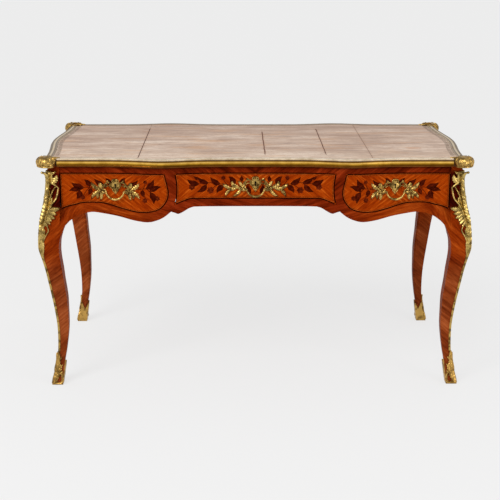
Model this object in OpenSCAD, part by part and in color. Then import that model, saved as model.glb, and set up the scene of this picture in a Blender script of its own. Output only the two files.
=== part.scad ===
// Bureau plat: a flat writing desk with three frieze drawers, cabriole legs,
// gilt bronze mounts and a leather writing surface.
// The front faces -Y, X runs to the right, and the origin is on the floor under the centre.

/* [Overall] */
// Height of the top above the floor
desk_h = 780; // [740:1:820]
// Width over the outer faces of the corner posts
post_w = 1356; // [1240:1:1500]
// Depth over the outer faces of the corner posts
post_d = 704; // [640:1:800]

/* [Frieze and carcass] */
// Width of a corner post
post_t = 37; // [33:1:44]
// Step from the post faces back to the frieze
frieze_setback = 8; // [4:1:12]
// Height of the rail above the drawers
top_rail_h = 22; // [18:1:28]
// Swelling of the front and the back at the serpentine
front_bulge = 25; // [10:1:32]
// Distance of each swelling from the centre
bulge_x = 310; // [290:1:330]
// Half length of each swelling
bulge_len = 95; // [75:1:110]
// Swelling of the sides at their middle
side_bow = 22; // [12:1:28]
// Half length of a side's swelling
side_len = 174; // [150:1:190]
// Thickness of the carcass rails at their thinnest
rail_t = 29; // [25:1:32]
// Thickness of the side friezes at their thinnest
side_t = 24; // [20:1:28]
// Height of the frieze over the knee hole
frieze_mid_h = 135; // [132:1:142]
// Height of the frieze at the posts
frieze_end_h = 235; // [225:1:245]
// Length of a rail's tenon
tenon_l = 14; // [8:1:15]
// Thickness of a rail's tenon
tenon_t = 9; // [6:1:11]
// Thickness of the partitions between the drawers
partition_t = 14; // [10:1:18]

/* [Top] */
// Height of the brass rim
rim_h = 27; // [24:1:32]
// Overhang of the rim over the frieze
rim_overhang = 18; // [14:1:22]
// Width of the rim seen from above
rim_w = 24; // [20:1:28]
// How far the rim stands out from the edge of the top board
rim_out = 8; // [6:0.5:9]
// Thickness of the rim's lip over the top board
rim_lip = 4; // [3:0.5:5]
// Thickness of the leather
leather_t = 2; // [1:0.5:2.5]
// Distance of each leather seam from the centre
seam_x = 384; // [340:1:420]
// Outer radius of a corner clasp
clasp_r = 33.5; // [31:0.5:36]
// Thickness of a corner clasp's skirt
clasp_t = 6.5; // [5:0.5:8]
// Number of flutes round a corner clasp
clasp_flutes = 9; // [7:1:11]

/* [Legs] */
// Width of the brass fillet's bed along the outer edge of a leg
arris_cut = 4; // [3:0.5:5]
// Chamfer of the inner edge of a leg
leg_inner_cut = 6; // [3:0.5:9]
// How far the brass fillet stands out
fillet_out = 1.5; // [1:0.5:2.5]
// Length of a knee block along its rail
block_l = 78; // [60:1:90]
// Thickness of the bronze mounts on the knees
chute_t = 7; // [5:0.5:8]
// Height of a bronze shoe
sabot_h = 112; // [104:1:120]
// Thickness of a bronze shoe
sabot_t = 4; // [3:0.5:5]
// Thickness of the sole of a bronze shoe
sole_t = 3; // [2:0.5:4]

/* [Drawers] */
// Half width of the middle drawer
centre_half = 264; // [255:1:272]
// Least width between the drawers
divider_w = 20; // [18:1:24]
// Gap round the drawer fronts
drawer_gap = 1.2; // [0.8:0.1:1.6]
// Least thickness of the drawer fronts
front_t = 22; // [20:1:24]
// Height of the sides of the outer drawers
outer_box_h = 86; // [76:1:88]
// Height of the sides of the middle drawer
centre_box_h = 72; // [62:1:74]
// Thickness of the drawer sides and backs
box_t = 10; // [8:1:12]
// Thickness of the drawer bottoms
bottom_t = 6; // [4:1:7]
// Depth of the grooves that hold the drawer bottoms
groove_d = 5; // [3:0.5:6]
// Space behind the closed drawers
back_space = 30; // [20:1:60]
// Length of the dovetails into the drawer fronts
tail_l = 12; // [9:1:14]
// Clearance of the glued and sliding wood joints
fit = 0.1; // [0.1:0.05:0.2]
// Running clearance under and beside the drawers
run_gap = 0.3; // [0.2:0.1:0.5]

/* [Handles and locks] */
// Distance of the outer handles from the middle of their drawers, towards the knee hole
handle_shift = 2.9; // [0:0.1:8]
// Drop of the outer handles below the top rail
outer_handle_drop = 43; // [41:1:45]
// Drop of the middle handle below the top rail
centre_handle_drop = 35; // [33:1:38]
// Thickness of a handle's back plate
plate_t = 3.5; // [2.5:0.5:4.5]
// Distance of the bail's axis from the drawer front
bail_stand = 11; // [10:0.5:13]
// Half the distance between a bail's pommels
pommel_x = 38.5; // [37:0.5:41]
// Radius of a pommel
pommel_r = 5.5; // [5:0.25:6]
// Drop of the bail below its axis
bail_drop = 24.5; // [22:0.5:26]
// Radius of the bail's bar
bail_r = 3.3; // [2.5:0.1:3.6]
// Radius of a bail's pin
pin_r = 1.65; // [1.4:0.05:1.9]
// Running clearance of a bail's pin
pin_gap = 0.08; // [0.05:0.01:0.1]
// Radius of a pommel's shank
shank_r = 2.5; // [2:0.25:3]
// Width of a lock's case
lock_w = 60; // [50:1:64]
// Height of a lock's case
lock_h = 45; // [42:1:50]
// Thickness of a lock's case
lock_t = 11; // [9:1:12]
// Width of a lock's bolt
bolt_w = 18; // [14:1:22]
// Thickness of a lock's bolt
bolt_t = 5; // [4.5:0.5:6]
// Travel of a lock's bolt
bolt_travel = 7; // [5:0.5:8]
// Radius of a keyhole's round part
key_r = 2.4; // [1.8:0.1:2.6]

/* [Hidden] */

half_w = post_w / 2;
half_d = post_d / 2;
cheek_x = half_w - post_t;
cheek_y = half_d - post_t;
frieze_z = desk_h - rim_h;
opening_z = frieze_z - top_rail_h;
knee_z = frieze_z - frieze_end_h;
board_top = desk_h - rim_lip;
side_inner = half_w - frieze_setback - side_t;
bed = 0.1; // a mount's bed against the wood
grid = 20; // spacing of the points along the serpentine where it swells
side_grid = 50; // spacing of the points along the sides
far = 2000; // longer than any cut has to be
wood_red = [0.42, 0.15, 0.06];
wood_orange = [0.68, 0.30, 0.09];
wood_plain = [0.72, 0.52, 0.32];
bronze = [0.74, 0.58, 0.22];
steel = [0.55, 0.56, 0.57];
hide = [0.76, 0.64, 0.57];

// Smooth curve through a list of points, with n steps between two of them
function blend(a, b, c, d, t) =
    0.5 * (2 * b + (c - a) * t + (2 * a - 5 * b + 4 * c - d) * t * t
    + (3 * b - a - 3 * c + d) * t * t * t);
function smooth(p, n) = let (last = len(p) - 1)
    [for (i = [0 : last - 1]) for (k = [0 : n - 1])
        blend(p[max(i - 1, 0)], p[i], p[i + 1], p[min(i + 2, last)], k / n), p[last]];
function flip(p) = [for (i = [len(p) - 1 : -1 : 0]) p[i]];
function mirror_x(p) = [for (i = [len(p) - 1 : -1 : 0]) [-p[i][0], p[i][1]]];
function ease(t) = let (u = min(1, max(0, t))) u * u * (3 - 2 * u);

// Plan of the desk: half depth of the frieze at x, and half width of the frieze at y
function face_y(x) = half_d - frieze_setback
    + front_bulge * exp(-pow((abs(x) - bulge_x) / bulge_len, 2));
function face_x(y) = half_w - frieze_setback + side_bow * exp(-pow(y / side_len, 2));
function coarse(k) = k % 4 == 0 || abs(abs(k * grid) - bulge_x) < 1.7 * bulge_len;
front_grid = [for (k = [0 : ceil((half_w + 60) / grid)]) if (coarse(k)) [k * grid, face_y(k * grid)]];
function front_face(x) = lookup(abs(x), front_grid);
function steps(a, b) = [a, for (k = [ceil((a + 1) / grid) : floor((b - 1) / grid)])
    if (coarse(k)) k * grid, b];
function side_steps(a, b) = [a, for (k = [ceil((a + 1) / side_grid) : floor((b - 1) / side_grid)])
    k * side_grid, b];
side_line = [for (y = side_steps(0, cheek_y)) [y, face_x(y)]];
function side_face(y) = lookup(abs(y), side_line);

// Outline of a leg's outer side: distance from the post face, and height
upper_leg = [[0, 0], [0, -30], [0, -53], [2, -80], [5, -103], [9.5, -125], [15, -145], [22, -171],
    [27, -200]];
lower_leg = [[30.5, 1], [32, 0.955], [31, 0.92], [25.5, 0.872], [19.5, 0.82], [14.5, 0.77],
    [9.5, 0.709], [-1.5, 0.575], [-7.5, 0.488], [-12, 0.4], [-13, 0.328], [-12.5, 0.27],
    [-11, 0.212], [-9, 0.164], [-5.5, 0.116], [-1, 0.07], [3, 0.035], [7.5, 0]];
inner_leg = [[0, 1], [3, 0.973], [4.5, 0.938], [5, 0.898], [3, 0.846], [-1, 0.78], [-4, 0.709],
    [-8, 0.64], [-11, 0.573], [-11.5, 0.488], [-11.5, 0.4], [-9, 0.332], [-5, 0.268],
    [0, 0.203], [4.5, 0.158], [9, 0.089], [12, 0.046], [16, 0]];
function outer_curve() = smooth(concat(
    [for (p = upper_leg) [p[0], frieze_z + p[1]]],
    [for (p = lower_leg) [p[0], sole_t + p[1] * (knee_z - sole_t)]]), 2);
function inner_curve() = smooth([for (p = inner_leg) [p[0], sole_t + p[1] * (knee_z - sole_t)]], 2);
function leg_out(z) = lookup(z, [for (p = outer_curve()) [p[1], p[0]]]);
function leg_outline(face, grow) = concat(
    [for (p = outer_curve()) [face + p[0] + grow, p[1]]],
    flip([for (p = inner_curve()) [face - post_t + p[0], p[1]]]),
    [[face - post_t, frieze_z]]);
function outer_band(face, from, to) = concat(
    [for (p = outer_curve()) [face + p[0] + from, p[1]]],
    flip([for (p = outer_curve()) [face + p[0] + to, p[1]]]));

// Bottom edge of the frieze next to a post: distance from the post and drop below the top rail
knee_curve = [[0, 0], [4, -16], [10, -31], [19, -44], [33, -57], [47, -66], [65, -74.5], [88, -79],
    [111, -81]];
knee_run = 111;
front_wave = [[0.154, 138], [0.324, 146.5], [0.514, 158.5], [0.692, 163], [0.814, 156], [0.913, 144],
    [1, 126.5]];
front_lobe = [[13, 13.5], [0, 18], [-10, 22], [-22, 18], [-33, 12], [-47, 4], [-62, 0]];
side_wave = [[0.34, 140], [0.68, 149], [1, 152]];
end_drop = frieze_end_h - top_rail_h;
mid_drop = frieze_mid_h - top_rail_h;
cusp_x = centre_half + front_lobe[0][0];
function post_part(cheek) = [for (p = knee_curve) [cheek - p[0], opening_z - end_drop - p[1]]];
function apron_half() = concat(
    smooth(concat(post_part(cheek_x),
        [for (p = front_wave)
            [cheek_x - knee_run - p[0] * (cheek_x - knee_run - cusp_x), opening_z - p[1]]]), 3),
    smooth([for (p = front_lobe) [centre_half + p[0], opening_z - mid_drop - p[1]]], 3));
function side_half() = smooth(concat(post_part(cheek_y),
    [for (p = side_wave) [(cheek_y - knee_run) * (1 - p[0]), opening_z - p[1]]]), 3);
function apron_low(x) = lookup(x, [for (p = apron_half()) p]);
function side_low(y) = lookup(y, [for (p = side_half()) p]);

// Outlines of the drawer fronts: share of the width, and drop below the top rail
outer_front = [[0.034, 0], [0.02, 26], [0.004, 51], [0.001, 66], [0.011, 86], [0.047, 106], [0.1, 121.5],
    [0.201, 130.5], [0.313, 130], [0.4525, 118], [0.575, 104], [0.6816, 100], [0.793, 101],
    [0.866, 107.5], [0.941, 114], [1, 123]];
centre_front = [[-0.5, 0], [-5.5, 31], [-6.5, 52], [-5, 76], [0, 103], [-19, 96.5], [-50, 86.5], [-75, 87]];
outer_x0 = centre_half + divider_w;
outer_x1 = cheek_x - drawer_gap;
function outer_curve_front() = smooth([for (p = outer_front)
    [outer_x0 + p[0] * (outer_x1 - outer_x0), opening_z - max(p[1], drawer_gap)]], 3);
function centre_curve_front() = concat(
    smooth([for (i = [0 : 4])
        [centre_half + centre_front[i][0], opening_z - max(centre_front[i][1], drawer_gap)]], 3),
    smooth([for (i = [4 : 7]) [centre_half + centre_front[i][0], opening_z - centre_front[i][1]]], 3));
function front_low(x) = lookup(x, [for (i = [18 : 45]) outer_curve_front()[i]]);
joint_drop = 81; // where the dividers stand on the apron

module along_y() rotate([90, 0, 0]) linear_extrude(height = far, center = true) children();
module along_x() rotate([90, 0, 90]) linear_extrude(height = far, center = true) children();
module along_diagonal() rotate([90, 0, 45]) linear_extrude(height = far, center = true) children();
module all_corners() for (a = [0, 1]) for (b = [0, 1]) mirror([a, 0, 0]) mirror([0, b, 0]) children();
module box(a, b) translate(a) cube(b - a);

module outer_front_outline() polygon(concat(outer_curve_front(), [[outer_x1, opening_z - drawer_gap]]));
module centre_front_outline() polygon(concat(centre_curve_front(), mirror_x(centre_curve_front())));
module openings_outline() {
    offset(delta = drawer_gap) centre_front_outline();
    for (s = [0, 1]) mirror([s, 0]) offset(delta = drawer_gap) outer_front_outline();
}
module frieze_outline(top) polygon(concat(apron_half(), mirror_x(apron_half()),
    [[-cheek_x, top], [cheek_x, top]]));

// Front band from the serpentine face back to a flat inner plane
module front_band(x0, x1, z0, z1, inner, out = 0) translate([0, 0, z0]) linear_extrude(height = z1 - z0)
    polygon(concat([for (x = steps(x0, x1)) [x, -front_face(x) - out]], [[x1, -inner], [x0, -inner]]));

// Rails' tenons, grown by the clearance where they are cut from the posts
module rail_tenon(z0, z1, grow) {
    y = cheek_y + rail_t / 2 - tenon_t / 2;
    box([cheek_x - 1, y - grow, z0 - grow], [cheek_x + tenon_l + grow, y + tenon_t + grow, z1 + grow]);
}
module side_tenon(z0, z1, grow) {
    x = cheek_x + post_t - tenon_t / 2 - tenon_l / 2 - frieze_setback;
    box([x - grow, cheek_y - 1, z0 - grow], [x + tenon_t + grow, cheek_y + tenon_l / 2 + grow, z1 + grow]);
}
tenon_drop = 140;
tenon_h = 60;
apron_tenon_z1 = opening_z - tenon_drop;
apron_tenon_z0 = apron_tenon_z1 - tenon_h;

module leg() color(wood_red) difference() {
    intersection() {
        along_y() polygon(leg_outline(half_w, 0));
        along_x() polygon(leg_outline(half_d, 0));
        along_diagonal() polygon(concat(
            [for (p = outer_curve()) [(half_w + half_d + 2 * p[0] - arris_cut) / sqrt(2), p[1]]],
            flip([for (p = inner_curve()) [(cheek_x + cheek_y + 2 * p[0] + leg_inner_cut) / sqrt(2), p[1]]]),
            [[(cheek_x + cheek_y + leg_inner_cut) / sqrt(2), frieze_z]]));
    }
    rail_tenon(apron_tenon_z0, apron_tenon_z1, fit);
    side_tenon(apron_tenon_z0, apron_tenon_z1, fit);
}

bolt_y = half_d - frieze_setback - front_t + bolt_t / 2 + 1.5;
handle_x = (outer_x0 + outer_x1) / 2 - handle_shift;
bolt_centres = [-handle_x, 0, handle_x];
module front_top_rail() color(wood_red) difference() {
    front_band(-cheek_x, cheek_x, opening_z, frieze_z, cheek_y);
    for (x = bolt_centres) box([x - bolt_w / 2 - 1, -bolt_y - bolt_t / 2 - 1, opening_z - 1],
        [x + bolt_w / 2 + 1, -bolt_y + bolt_t / 2 + 1, opening_z + bolt_travel + 2]);
}

module front_apron() color(wood_red) {
    intersection() {
        front_band(-cheek_x, cheek_x, knee_z - 1, opening_z, cheek_y);
        along_y() difference() {
            frieze_outline(opening_z - joint_drop);
            openings_outline();
        }
    }
    for (s = [0, 1]) mirror([s, 0, 0]) mirror([0, 1, 0]) rail_tenon(apron_tenon_z0, apron_tenon_z1, 0);
}

module front_dividers() color(wood_red) for (s = [0, 1]) mirror([s, 0, 0]) intersection() {
    front_band(centre_half - 20, outer_x0 + 30, opening_z - joint_drop, opening_z, cheek_y);
    along_y() difference() {
        translate([centre_half - 20, opening_z - joint_drop]) square([divider_w + 50, joint_drop]);
        openings_outline();
    }
}

// The back has the same frieze in one piece, with grooves that draw three sham drawers
groove_w = 1.6;
groove_depth = 2;
module back_frieze() color(wood_red) difference() {
    union() {
        intersection() {
            mirror([0, 1, 0]) front_band(-cheek_x, cheek_x, knee_z - 1, frieze_z, cheek_y);
            along_y() frieze_outline(frieze_z);
        }
        for (s = [0, 1]) mirror([s, 0, 0]) rail_tenon(apron_tenon_z0, apron_tenon_z1, 0);
    }
    difference() {
        intersection() {
            along_y() difference() {
                openings_outline();
                offset(delta = -groove_w) openings_outline();
            }
            mirror([0, 1, 0]) front_band(-cheek_x, cheek_x, knee_z, frieze_z, cheek_y, 5);
        }
        mirror([0, 1, 0])
            front_band(-cheek_x - 1, cheek_x + 1, knee_z - 1, frieze_z + 1, cheek_y - 1, -groove_depth);
    }
    for (x = bolt_centres) for (s = [-1, 1]) translate([x + s * pommel_x, 0, handle_z(x) - post_drop])
        rotate([-90, 0, 0]) cylinder(r = shank_r + fit, h = far, $fn = 32);
}

module side_frieze() color(wood_red) {
    intersection() {
        translate([0, 0, knee_z - 1]) linear_extrude(height = frieze_z - knee_z + 1) polygon(concat(
            [for (y = side_steps(-cheek_y, cheek_y)) [face_x(y), y]],
            [[side_inner, cheek_y], [side_inner, -cheek_y]]));
        along_x() polygon(concat(side_half(), mirror_x(side_half()),
            [[-cheek_y, frieze_z], [cheek_y, frieze_z]]));
    }
    for (s = [0, 1]) mirror([0, s, 0]) side_tenon(apron_tenon_z0, apron_tenon_z1, 0);
}

// Knee blocks carry the swell of the legs on to the rails: a patch of points over the frieze face
block_n = 5;
block_rise = 42;
block_edge = 0.6;
function block_point(on_side, i, j, front) =
    let (cheek = on_side ? cheek_y : cheek_x)
    let (s = cheek - block_l * (1 - i / block_n))
    let (low = on_side ? side_low(s) : apron_low(s))
    let (top = (on_side ? low + 60 * i / block_n + 12 : front_low(s)) - drawer_gap - 1)
    let (z = low + (top - low) * j / block_n)
    let (face = (on_side ? side_face(s) : front_face(s)) + bed)
    let (leg_face = (on_side ? half_w : half_d) + leg_out(z))
    let (swell = (leg_face - face) * ease(i / block_n) * ease((top - z) / block_rise))
    let (depth = face + (front ? max(block_edge, swell) : 0))
    on_side ? [depth, s, z] : [s, depth, z];
module knee_block(on_side) {
    m = block_n + 1;
    k = m * m;
    points = [for (f = [0, 1]) for (i = [0 : block_n]) for (j = [0 : block_n])
        block_point(on_side, i, j, f == 1)];
    cells = [for (i = [0 : block_n - 1]) for (j = [0 : block_n - 1])
        [i * m + j, i * m + j + 1, (i + 1) * m + j + 1, (i + 1) * m + j]];
    rim = concat([for (i = [0 : block_n]) i * m], [for (j = [1 : block_n]) block_n * m + j],
        [for (i = [block_n - 1 : -1 : 0]) i * m + block_n], [for (j = [block_n - 1 : -1 : 1]) j]);
    walls = [for (i = [0 : len(rim) - 1]) let (a = rim[i], b = rim[(i + 1) % len(rim)]) [a + k, b + k, b, a]];
    quads = concat([for (c = cells) flip(c)], [for (c = cells) [for (v = c) v + k]], walls);
    faces = [for (q = quads) for (t = [[q[0], q[1], q[2]], [q[0], q[2], q[3]]]) t];
    polyhedron(points = points, faces = on_side ? [for (f = faces) flip(f)] : faces);
}
module knee_blocks() color(wood_red) all_corners() {
    knee_block(false);
    knee_block(true);
}

// Boxes of the drawers: inner and outer x, bottom and top z
outer_box_x0 = outer_x0 + 16;
outer_box_x1 = cheek_x - 9;
centre_box_x = centre_half - 14;
box_top = opening_z - 9;
box_y0 = half_d - frieze_setback - front_t;
box_y1 = cheek_y - back_space;
partition_x = (centre_half + outer_x0) / 2 + 5;

module drawer_partitions() color(wood_plain) for (s = [-1, 1])
    translate([s * partition_x - partition_t / 2, -cheek_y, opening_z - joint_drop - 26])
        cube([partition_t, 2 * cheek_y, top_rail_h + joint_drop + 26]);

// Each guide is a bearer under a drawer's side, with a fence beside it, and a kicker above
bearer_t = 14;
fence_h = 20;
module guide(wall_x, side_x, low, inward) {
    span = abs(side_x - wall_x);
    ledge = span + box_t + 4;
    fence = span - run_gap - 0.7;
    translate([wall_x, 0, 0]) mirror([inward > 0 ? 0 : 1, 0, 0]) {
        translate([0, -cheek_y, low - run_gap - bearer_t]) cube([ledge, 2 * cheek_y, bearer_t]);
        translate([0, -cheek_y, low - run_gap - bearer_t]) cube([fence, 2 * cheek_y, bearer_t + fence_h]);
        translate([0, -cheek_y, box_top + 1.5]) cube([ledge, 2 * cheek_y, frieze_z - box_top - 1.5]);
    }
}
module drawer_guides() color(wood_plain) for (s = [0, 1]) mirror([s, 0, 0]) {
    guide(partition_x - partition_t / 2, centre_box_x, box_top - centre_box_h, -1);
    guide(partition_x + partition_t / 2, outer_box_x0, box_top - outer_box_h, 1);
    guide(side_inner, outer_box_x1, box_top - outer_box_h, -1);
}

// Top: board, rim, clasps and leather
function board_y(x) = face_y(x) + rim_overhang - rim_out;
function board_x(y) = face_x(y) + rim_overhang - rim_out;
ear_r = clasp_r - clasp_t;
rim_reach = rim_overhang - frieze_setback;
rim_end = sqrt(clasp_r * clasp_r - rim_reach * rim_reach);
rim_x = half_w - rim_end;
rim_y = half_d - rim_end;
function top_outline(inset) = let (quarter = concat(
        [for (x = steps(0, rim_x)) [x, board_y(x) - inset]],
        [for (y = flip(side_steps(0, rim_y))) [board_x(y) - inset, y]]))
    concat(quarter, [for (p = flip(quarter)) [p[0], -p[1]]],
        [for (p = quarter) [-p[0], -p[1]]], [for (p = flip(quarter)) [-p[0], p[1]]]);
function tidy(p) = [for (i = [0 : len(p) - 1]) let (q = p[(i + 1) % len(p)]) if (norm(p[i] - q) > 0.01) p[i]];

module top_board() color(wood_plain) {
    translate([0, 0, frieze_z]) linear_extrude(height = board_top - frieze_z) polygon(tidy(top_outline(0)));
    all_corners() translate([half_w, half_d, frieze_z])
        cylinder(r = ear_r, h = board_top - frieze_z, $fn = 64);
}

leather_in = rim_w - rim_out + 0.2;
seam_gap = 0.6;
module leather(x0, x1) color(hide) difference() {
    intersection() {
        translate([0, 0, board_top]) linear_extrude(height = leather_t) polygon(tidy(top_outline(leather_in)));
        box([x0, -far, board_top], [x1, far, board_top + leather_t]);
    }
    all_corners() translate([half_w, half_d, board_top - 1])
        cylinder(r = ear_r + 0.4, h = leather_t + 2, $fn = 64);
}
// The middle hide has two part seams that stop short of the edges
part_seams = [33, 236];
part_seam_end = 100;
module leather_centre() difference() {
    leather(-seam_x + seam_gap / 2, seam_x - seam_gap / 2);
    for (x = part_seams) box([x - seam_gap / 2, -half_d + part_seam_end - 35, board_top + leather_t / 2],
        [x + seam_gap / 2, half_d - part_seam_end, board_top + leather_t + 1]);
}

// Section of the rim from its lip round the ovolo and the bead: distance out from the board, height share
rim_section = [[0.7, 1], [1.0, 0.955], [0.95, 0.89], [1.45, 0.82], [1.5, 0.5], [1.38, 0.33], [1.1, 0.22],
    [1.25, 0.13], [1.1, 0], [0, 0]];
function rim_ring(edge) = let (lip = rim_w - rim_out) concat(
    [[edge, board_top], [edge - lip, board_top], [edge - lip, desk_h - 1.2], [edge - lip + 1.5, desk_h]],
    [for (s = rim_section) [edge + s[0] / 1.5 * rim_out, frieze_z + s[1] * rim_h]]);
module sweep(rings) {
    m = len(rings[0]);
    n = len(rings);
    polyhedron(points = [for (r = rings) for (p = r) p], faces = concat(
        [[for (j = [m - 1 : -1 : 0]) j]], [[for (j = [0 : m - 1]) (n - 1) * m + j]],
        [for (i = [0 : n - 2]) for (j = [0 : m - 1])
            [i * m + j, i * m + (j + 1) % m, (i + 1) * m + (j + 1) % m, (i + 1) * m + j]]));
}
module rim_long() color(bronze)
    sweep([for (x = steps(-rim_x, rim_x)) [for (p = rim_ring(board_y(x))) [x, p[0], p[1]]]]);
module rim_short() color(bronze)
    sweep([for (y = flip(side_steps(-rim_y, rim_y))) [for (p = rim_ring(board_x(y))) [p[0], y, p[1]]]]);

// Corner clasp: a fluted shell round the corner of the top, under a low dome
clasp_turn = 180 - 45 - asin(rim_reach / clasp_r) - 1;
clasp_steps = 30;
clasp_h = rim_h + 7;
function clasp_ring(a) = let (flute = 1.3 * abs(cos(a / clasp_turn * 90 * clasp_flutes)), inner = ear_r + bed)
    let (swell = 1 - 0.35 * pow(abs(a) / clasp_turn, 4))
    [for (p = [[0, 0], [0.45, 0], [0.72, 0.15], [0.95, 0.42], [1, 0.7], [0.8, 0.92], [0.4, 1], [0, 1]])
        [inner + p[0] * (clasp_t - bed) * swell + (p[0] > 0.5 ? flute - 1.3 : 0) * p[0],
            frieze_z + p[1] * (clasp_h - 3)]];
module corner_clasps() color(bronze) all_corners() translate([half_w, half_d, 0]) {
    rotate([0, 0, 45]) sweep([for (i = [0 : clasp_steps]) let (a = clasp_turn * (2 * i / clasp_steps - 1))
        [for (p = clasp_ring(a)) [p[0] * cos(a), p[0] * sin(a), p[1]]]]);
    translate([0, 0, board_top + bed]) rotate_extrude($fn = 72) polygon([[0, 0], [ear_r + bed + 0.5, 0],
        [ear_r + bed + 0.5, frieze_z + clasp_h - 3 - board_top - 0.4],
        [ear_r - 4, frieze_z + clasp_h - 1 - board_top],
        [ear_r - 14, frieze_z + clasp_h - board_top], [0, frieze_z + clasp_h - board_top]]);
}

// A pointed leaf with a ridge: points [u, v, height] of its rim at the bottom and higher up, and of its ridge
leaf_shape = [[0, -0.2, 0], [0.4, -0.5, 0], [1, 0, 0], [0.4, 0.5, 0], [0, 0.2, 0],
    [0, -0.2, 0.35], [0.4, -0.5, 0.35], [1, 0, 0.35], [0.4, 0.5, 0.35], [0, 0.2, 0.35], [0.12, 0, 1],
    [0.75, 0, 1]];
leaf_faces = [[0, 1, 4], [1, 3, 4], [1, 2, 3], [0, 5, 6], [0, 6, 1], [1, 6, 7], [1, 7, 2], [2, 7, 8],
    [2, 8, 3], [3, 8, 9], [3, 9, 4], [4, 9, 5], [4, 5, 0], [5, 10, 6], [6, 10, 11], [6, 11, 7], [7, 11, 8],
    [8, 11, 10], [8, 10, 9], [9, 10, 5]];
function leaf_points(at, angle, l, w, rise) = [for (p = leaf_shape)
    [at[0] + p[0] * l * cos(angle) - p[1] * w * sin(angle),
        at[1] + p[0] * l * sin(angle) + p[1] * w * cos(angle), p[2] * rise]];
module leaf(points, turned = false) polyhedron(points = points,
    faces = turned ? [for (f = leaf_faces) flip(f)] : leaf_faces);

// Knee mount: a pierced scroll and leaf plate on both outer faces of a leg
mount_strip = [[60, 8], [-8, 8], [-11, 22], [-11, 31], [-19, 49], [-27, 57], [-29, 66], [-27, 88], [-21, 106],
    [-9, 118], [-18, 121], [-32, 124], [-20, 134], [-27, 145], [-14, 151], [-17, 161], [-3, 166], [0, 181],
    [7, 184], [9, 205], [14, 218], [22, 230], [25, 250], [60, 262]];
mount_window = [[0, 52], [-9, 54], [-17, 64], [-18, 75], [-16, 92], [-9, 104], [0, 106], [2, 97], [1, 64]];
mount_slot = [[16, 196], [23, 190], [24, 207], [17, 212]];
mount_leaves = [[[-6, 126], 176, 27, 10], [[-4, 140], 196, 25, 10], [[2, 152], 212, 22, 9],
    [[8, 168], 228, 16, 8], [[16, 128], -80, 66, 10], [[6, 26], -88, 76, 8]];
module mount_half(face, other) {
    intersection() {
        along_y() difference() {
            polygon([for (p = mount_strip) [face + p[0], frieze_z - p[1]]]);
            polygon([for (p = mount_window) [face + p[0], frieze_z - p[1]]]);
            polygon([for (p = mount_slot) [face + p[0], frieze_z - p[1]]]);
        }
        along_y() polygon(concat([for (p = outer_curve()) [face + p[0] + chute_t, p[1]]],
            [[face - 60, 0], [face - 60, frieze_z]]));
        along_x() polygon([for (p = outer_band(other, bed, chute_t)) [-p[0], p[1]]]);
    }
    for (v = mount_leaves) leaf([for (p = leaf_points([v[0][0], -v[0][1]], v[1], v[2], v[3], 5))
        [face + p[0], -other - leg_out(frieze_z + p[1]) - chute_t + 1.5 - p[2], frieze_z + p[1]]]);
}
// Cap of a knee mount: a small bracket that spreads under the corner of the top
cap_h = 15;
cap_drop = 5;
cap_low_r = 12;
cap_high_r = 21;
module mount_cap() difference() {
    translate([half_w + 3, half_d + 3, frieze_z - cap_drop - cap_h])
        cylinder(r1 = cap_low_r, r2 = cap_high_r, h = cap_h, $fn = 64);
    box([0, 0, 0], [half_w + bed, half_d + bed, desk_h]);
}
module knee_mounts() color(bronze) all_corners() {
    mount_half(half_w, half_d);
    mirror([1, 1, 0]) mount_half(half_d, half_w);
    mount_cap();
}

chute_low = 258;
module leg_fillets() color(bronze) all_corners() intersection() {
    along_y() polygon(leg_outline(half_w, fillet_out));
    along_x() polygon(leg_outline(half_d, fillet_out));
    along_diagonal() polygon(concat(
        [for (p = outer_curve()) [(half_w + half_d + 2 * p[0] - arris_cut) / sqrt(2) + bed, p[1]]],
        [[far, 0], [far, frieze_z]]));
    box([0, 0, sabot_h + 0.3], [far, far, frieze_z - chute_low]);
}

// Shoe: a pierced plate on both outer faces of the foot, with a sole under the wood
shoe_plate = [[60, 0], [-21, 0], [-25, 8], [-26, 24], [-24, 36], [-18, 45], [-12, 47], [-17, 52], [-26, 68],
    [-16, 64], [-15, 80], [-23, 92], [-15, 91], [-14, 104], [-12, 112], [60, 112]];
shoe_window = [[-15, 8], [-20, 14], [-20, 26], [-16, 37], [-10, 38], [-8, 28], [-7, 16], [-5, 9]];
shoe_leaves = [[[-7, 46], 94, 58, 7], [[0, 6], 103, 36, 7]];
cuff_top = [[60, 46], [-1, 46], [-4, 60], [-9, 82], [-15, 66], [-20, 50], [-26, 62], [-32, 74], [-40, 60]];
module shoe_cuff(face, other) intersection() {
    along_y() polygon(concat([[face - 60, 0], [face + 60, 0]],
        [for (p = cuff_top) [face + p[0], p[1] / 112 * sabot_h]]));
    along_y() polygon(concat([for (p = outer_curve()) [face + p[0], p[1]]],
        [[face + outer_foot, 0], [face - post_t + inner_foot - sabot_t, 0]],
        flip([for (p = inner_curve()) [face - post_t + p[0] - sabot_t, p[1]]])));
    along_x() polygon(concat([for (p = inner_curve()) [post_t - other - p[0] + bed, p[1]]],
        [[post_t - other - inner_foot + bed, 0], [post_t - other - inner_foot + sabot_t, 0]],
        flip([for (p = inner_curve()) [post_t - other - p[0] + sabot_t, p[1]]])));
}
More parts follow.
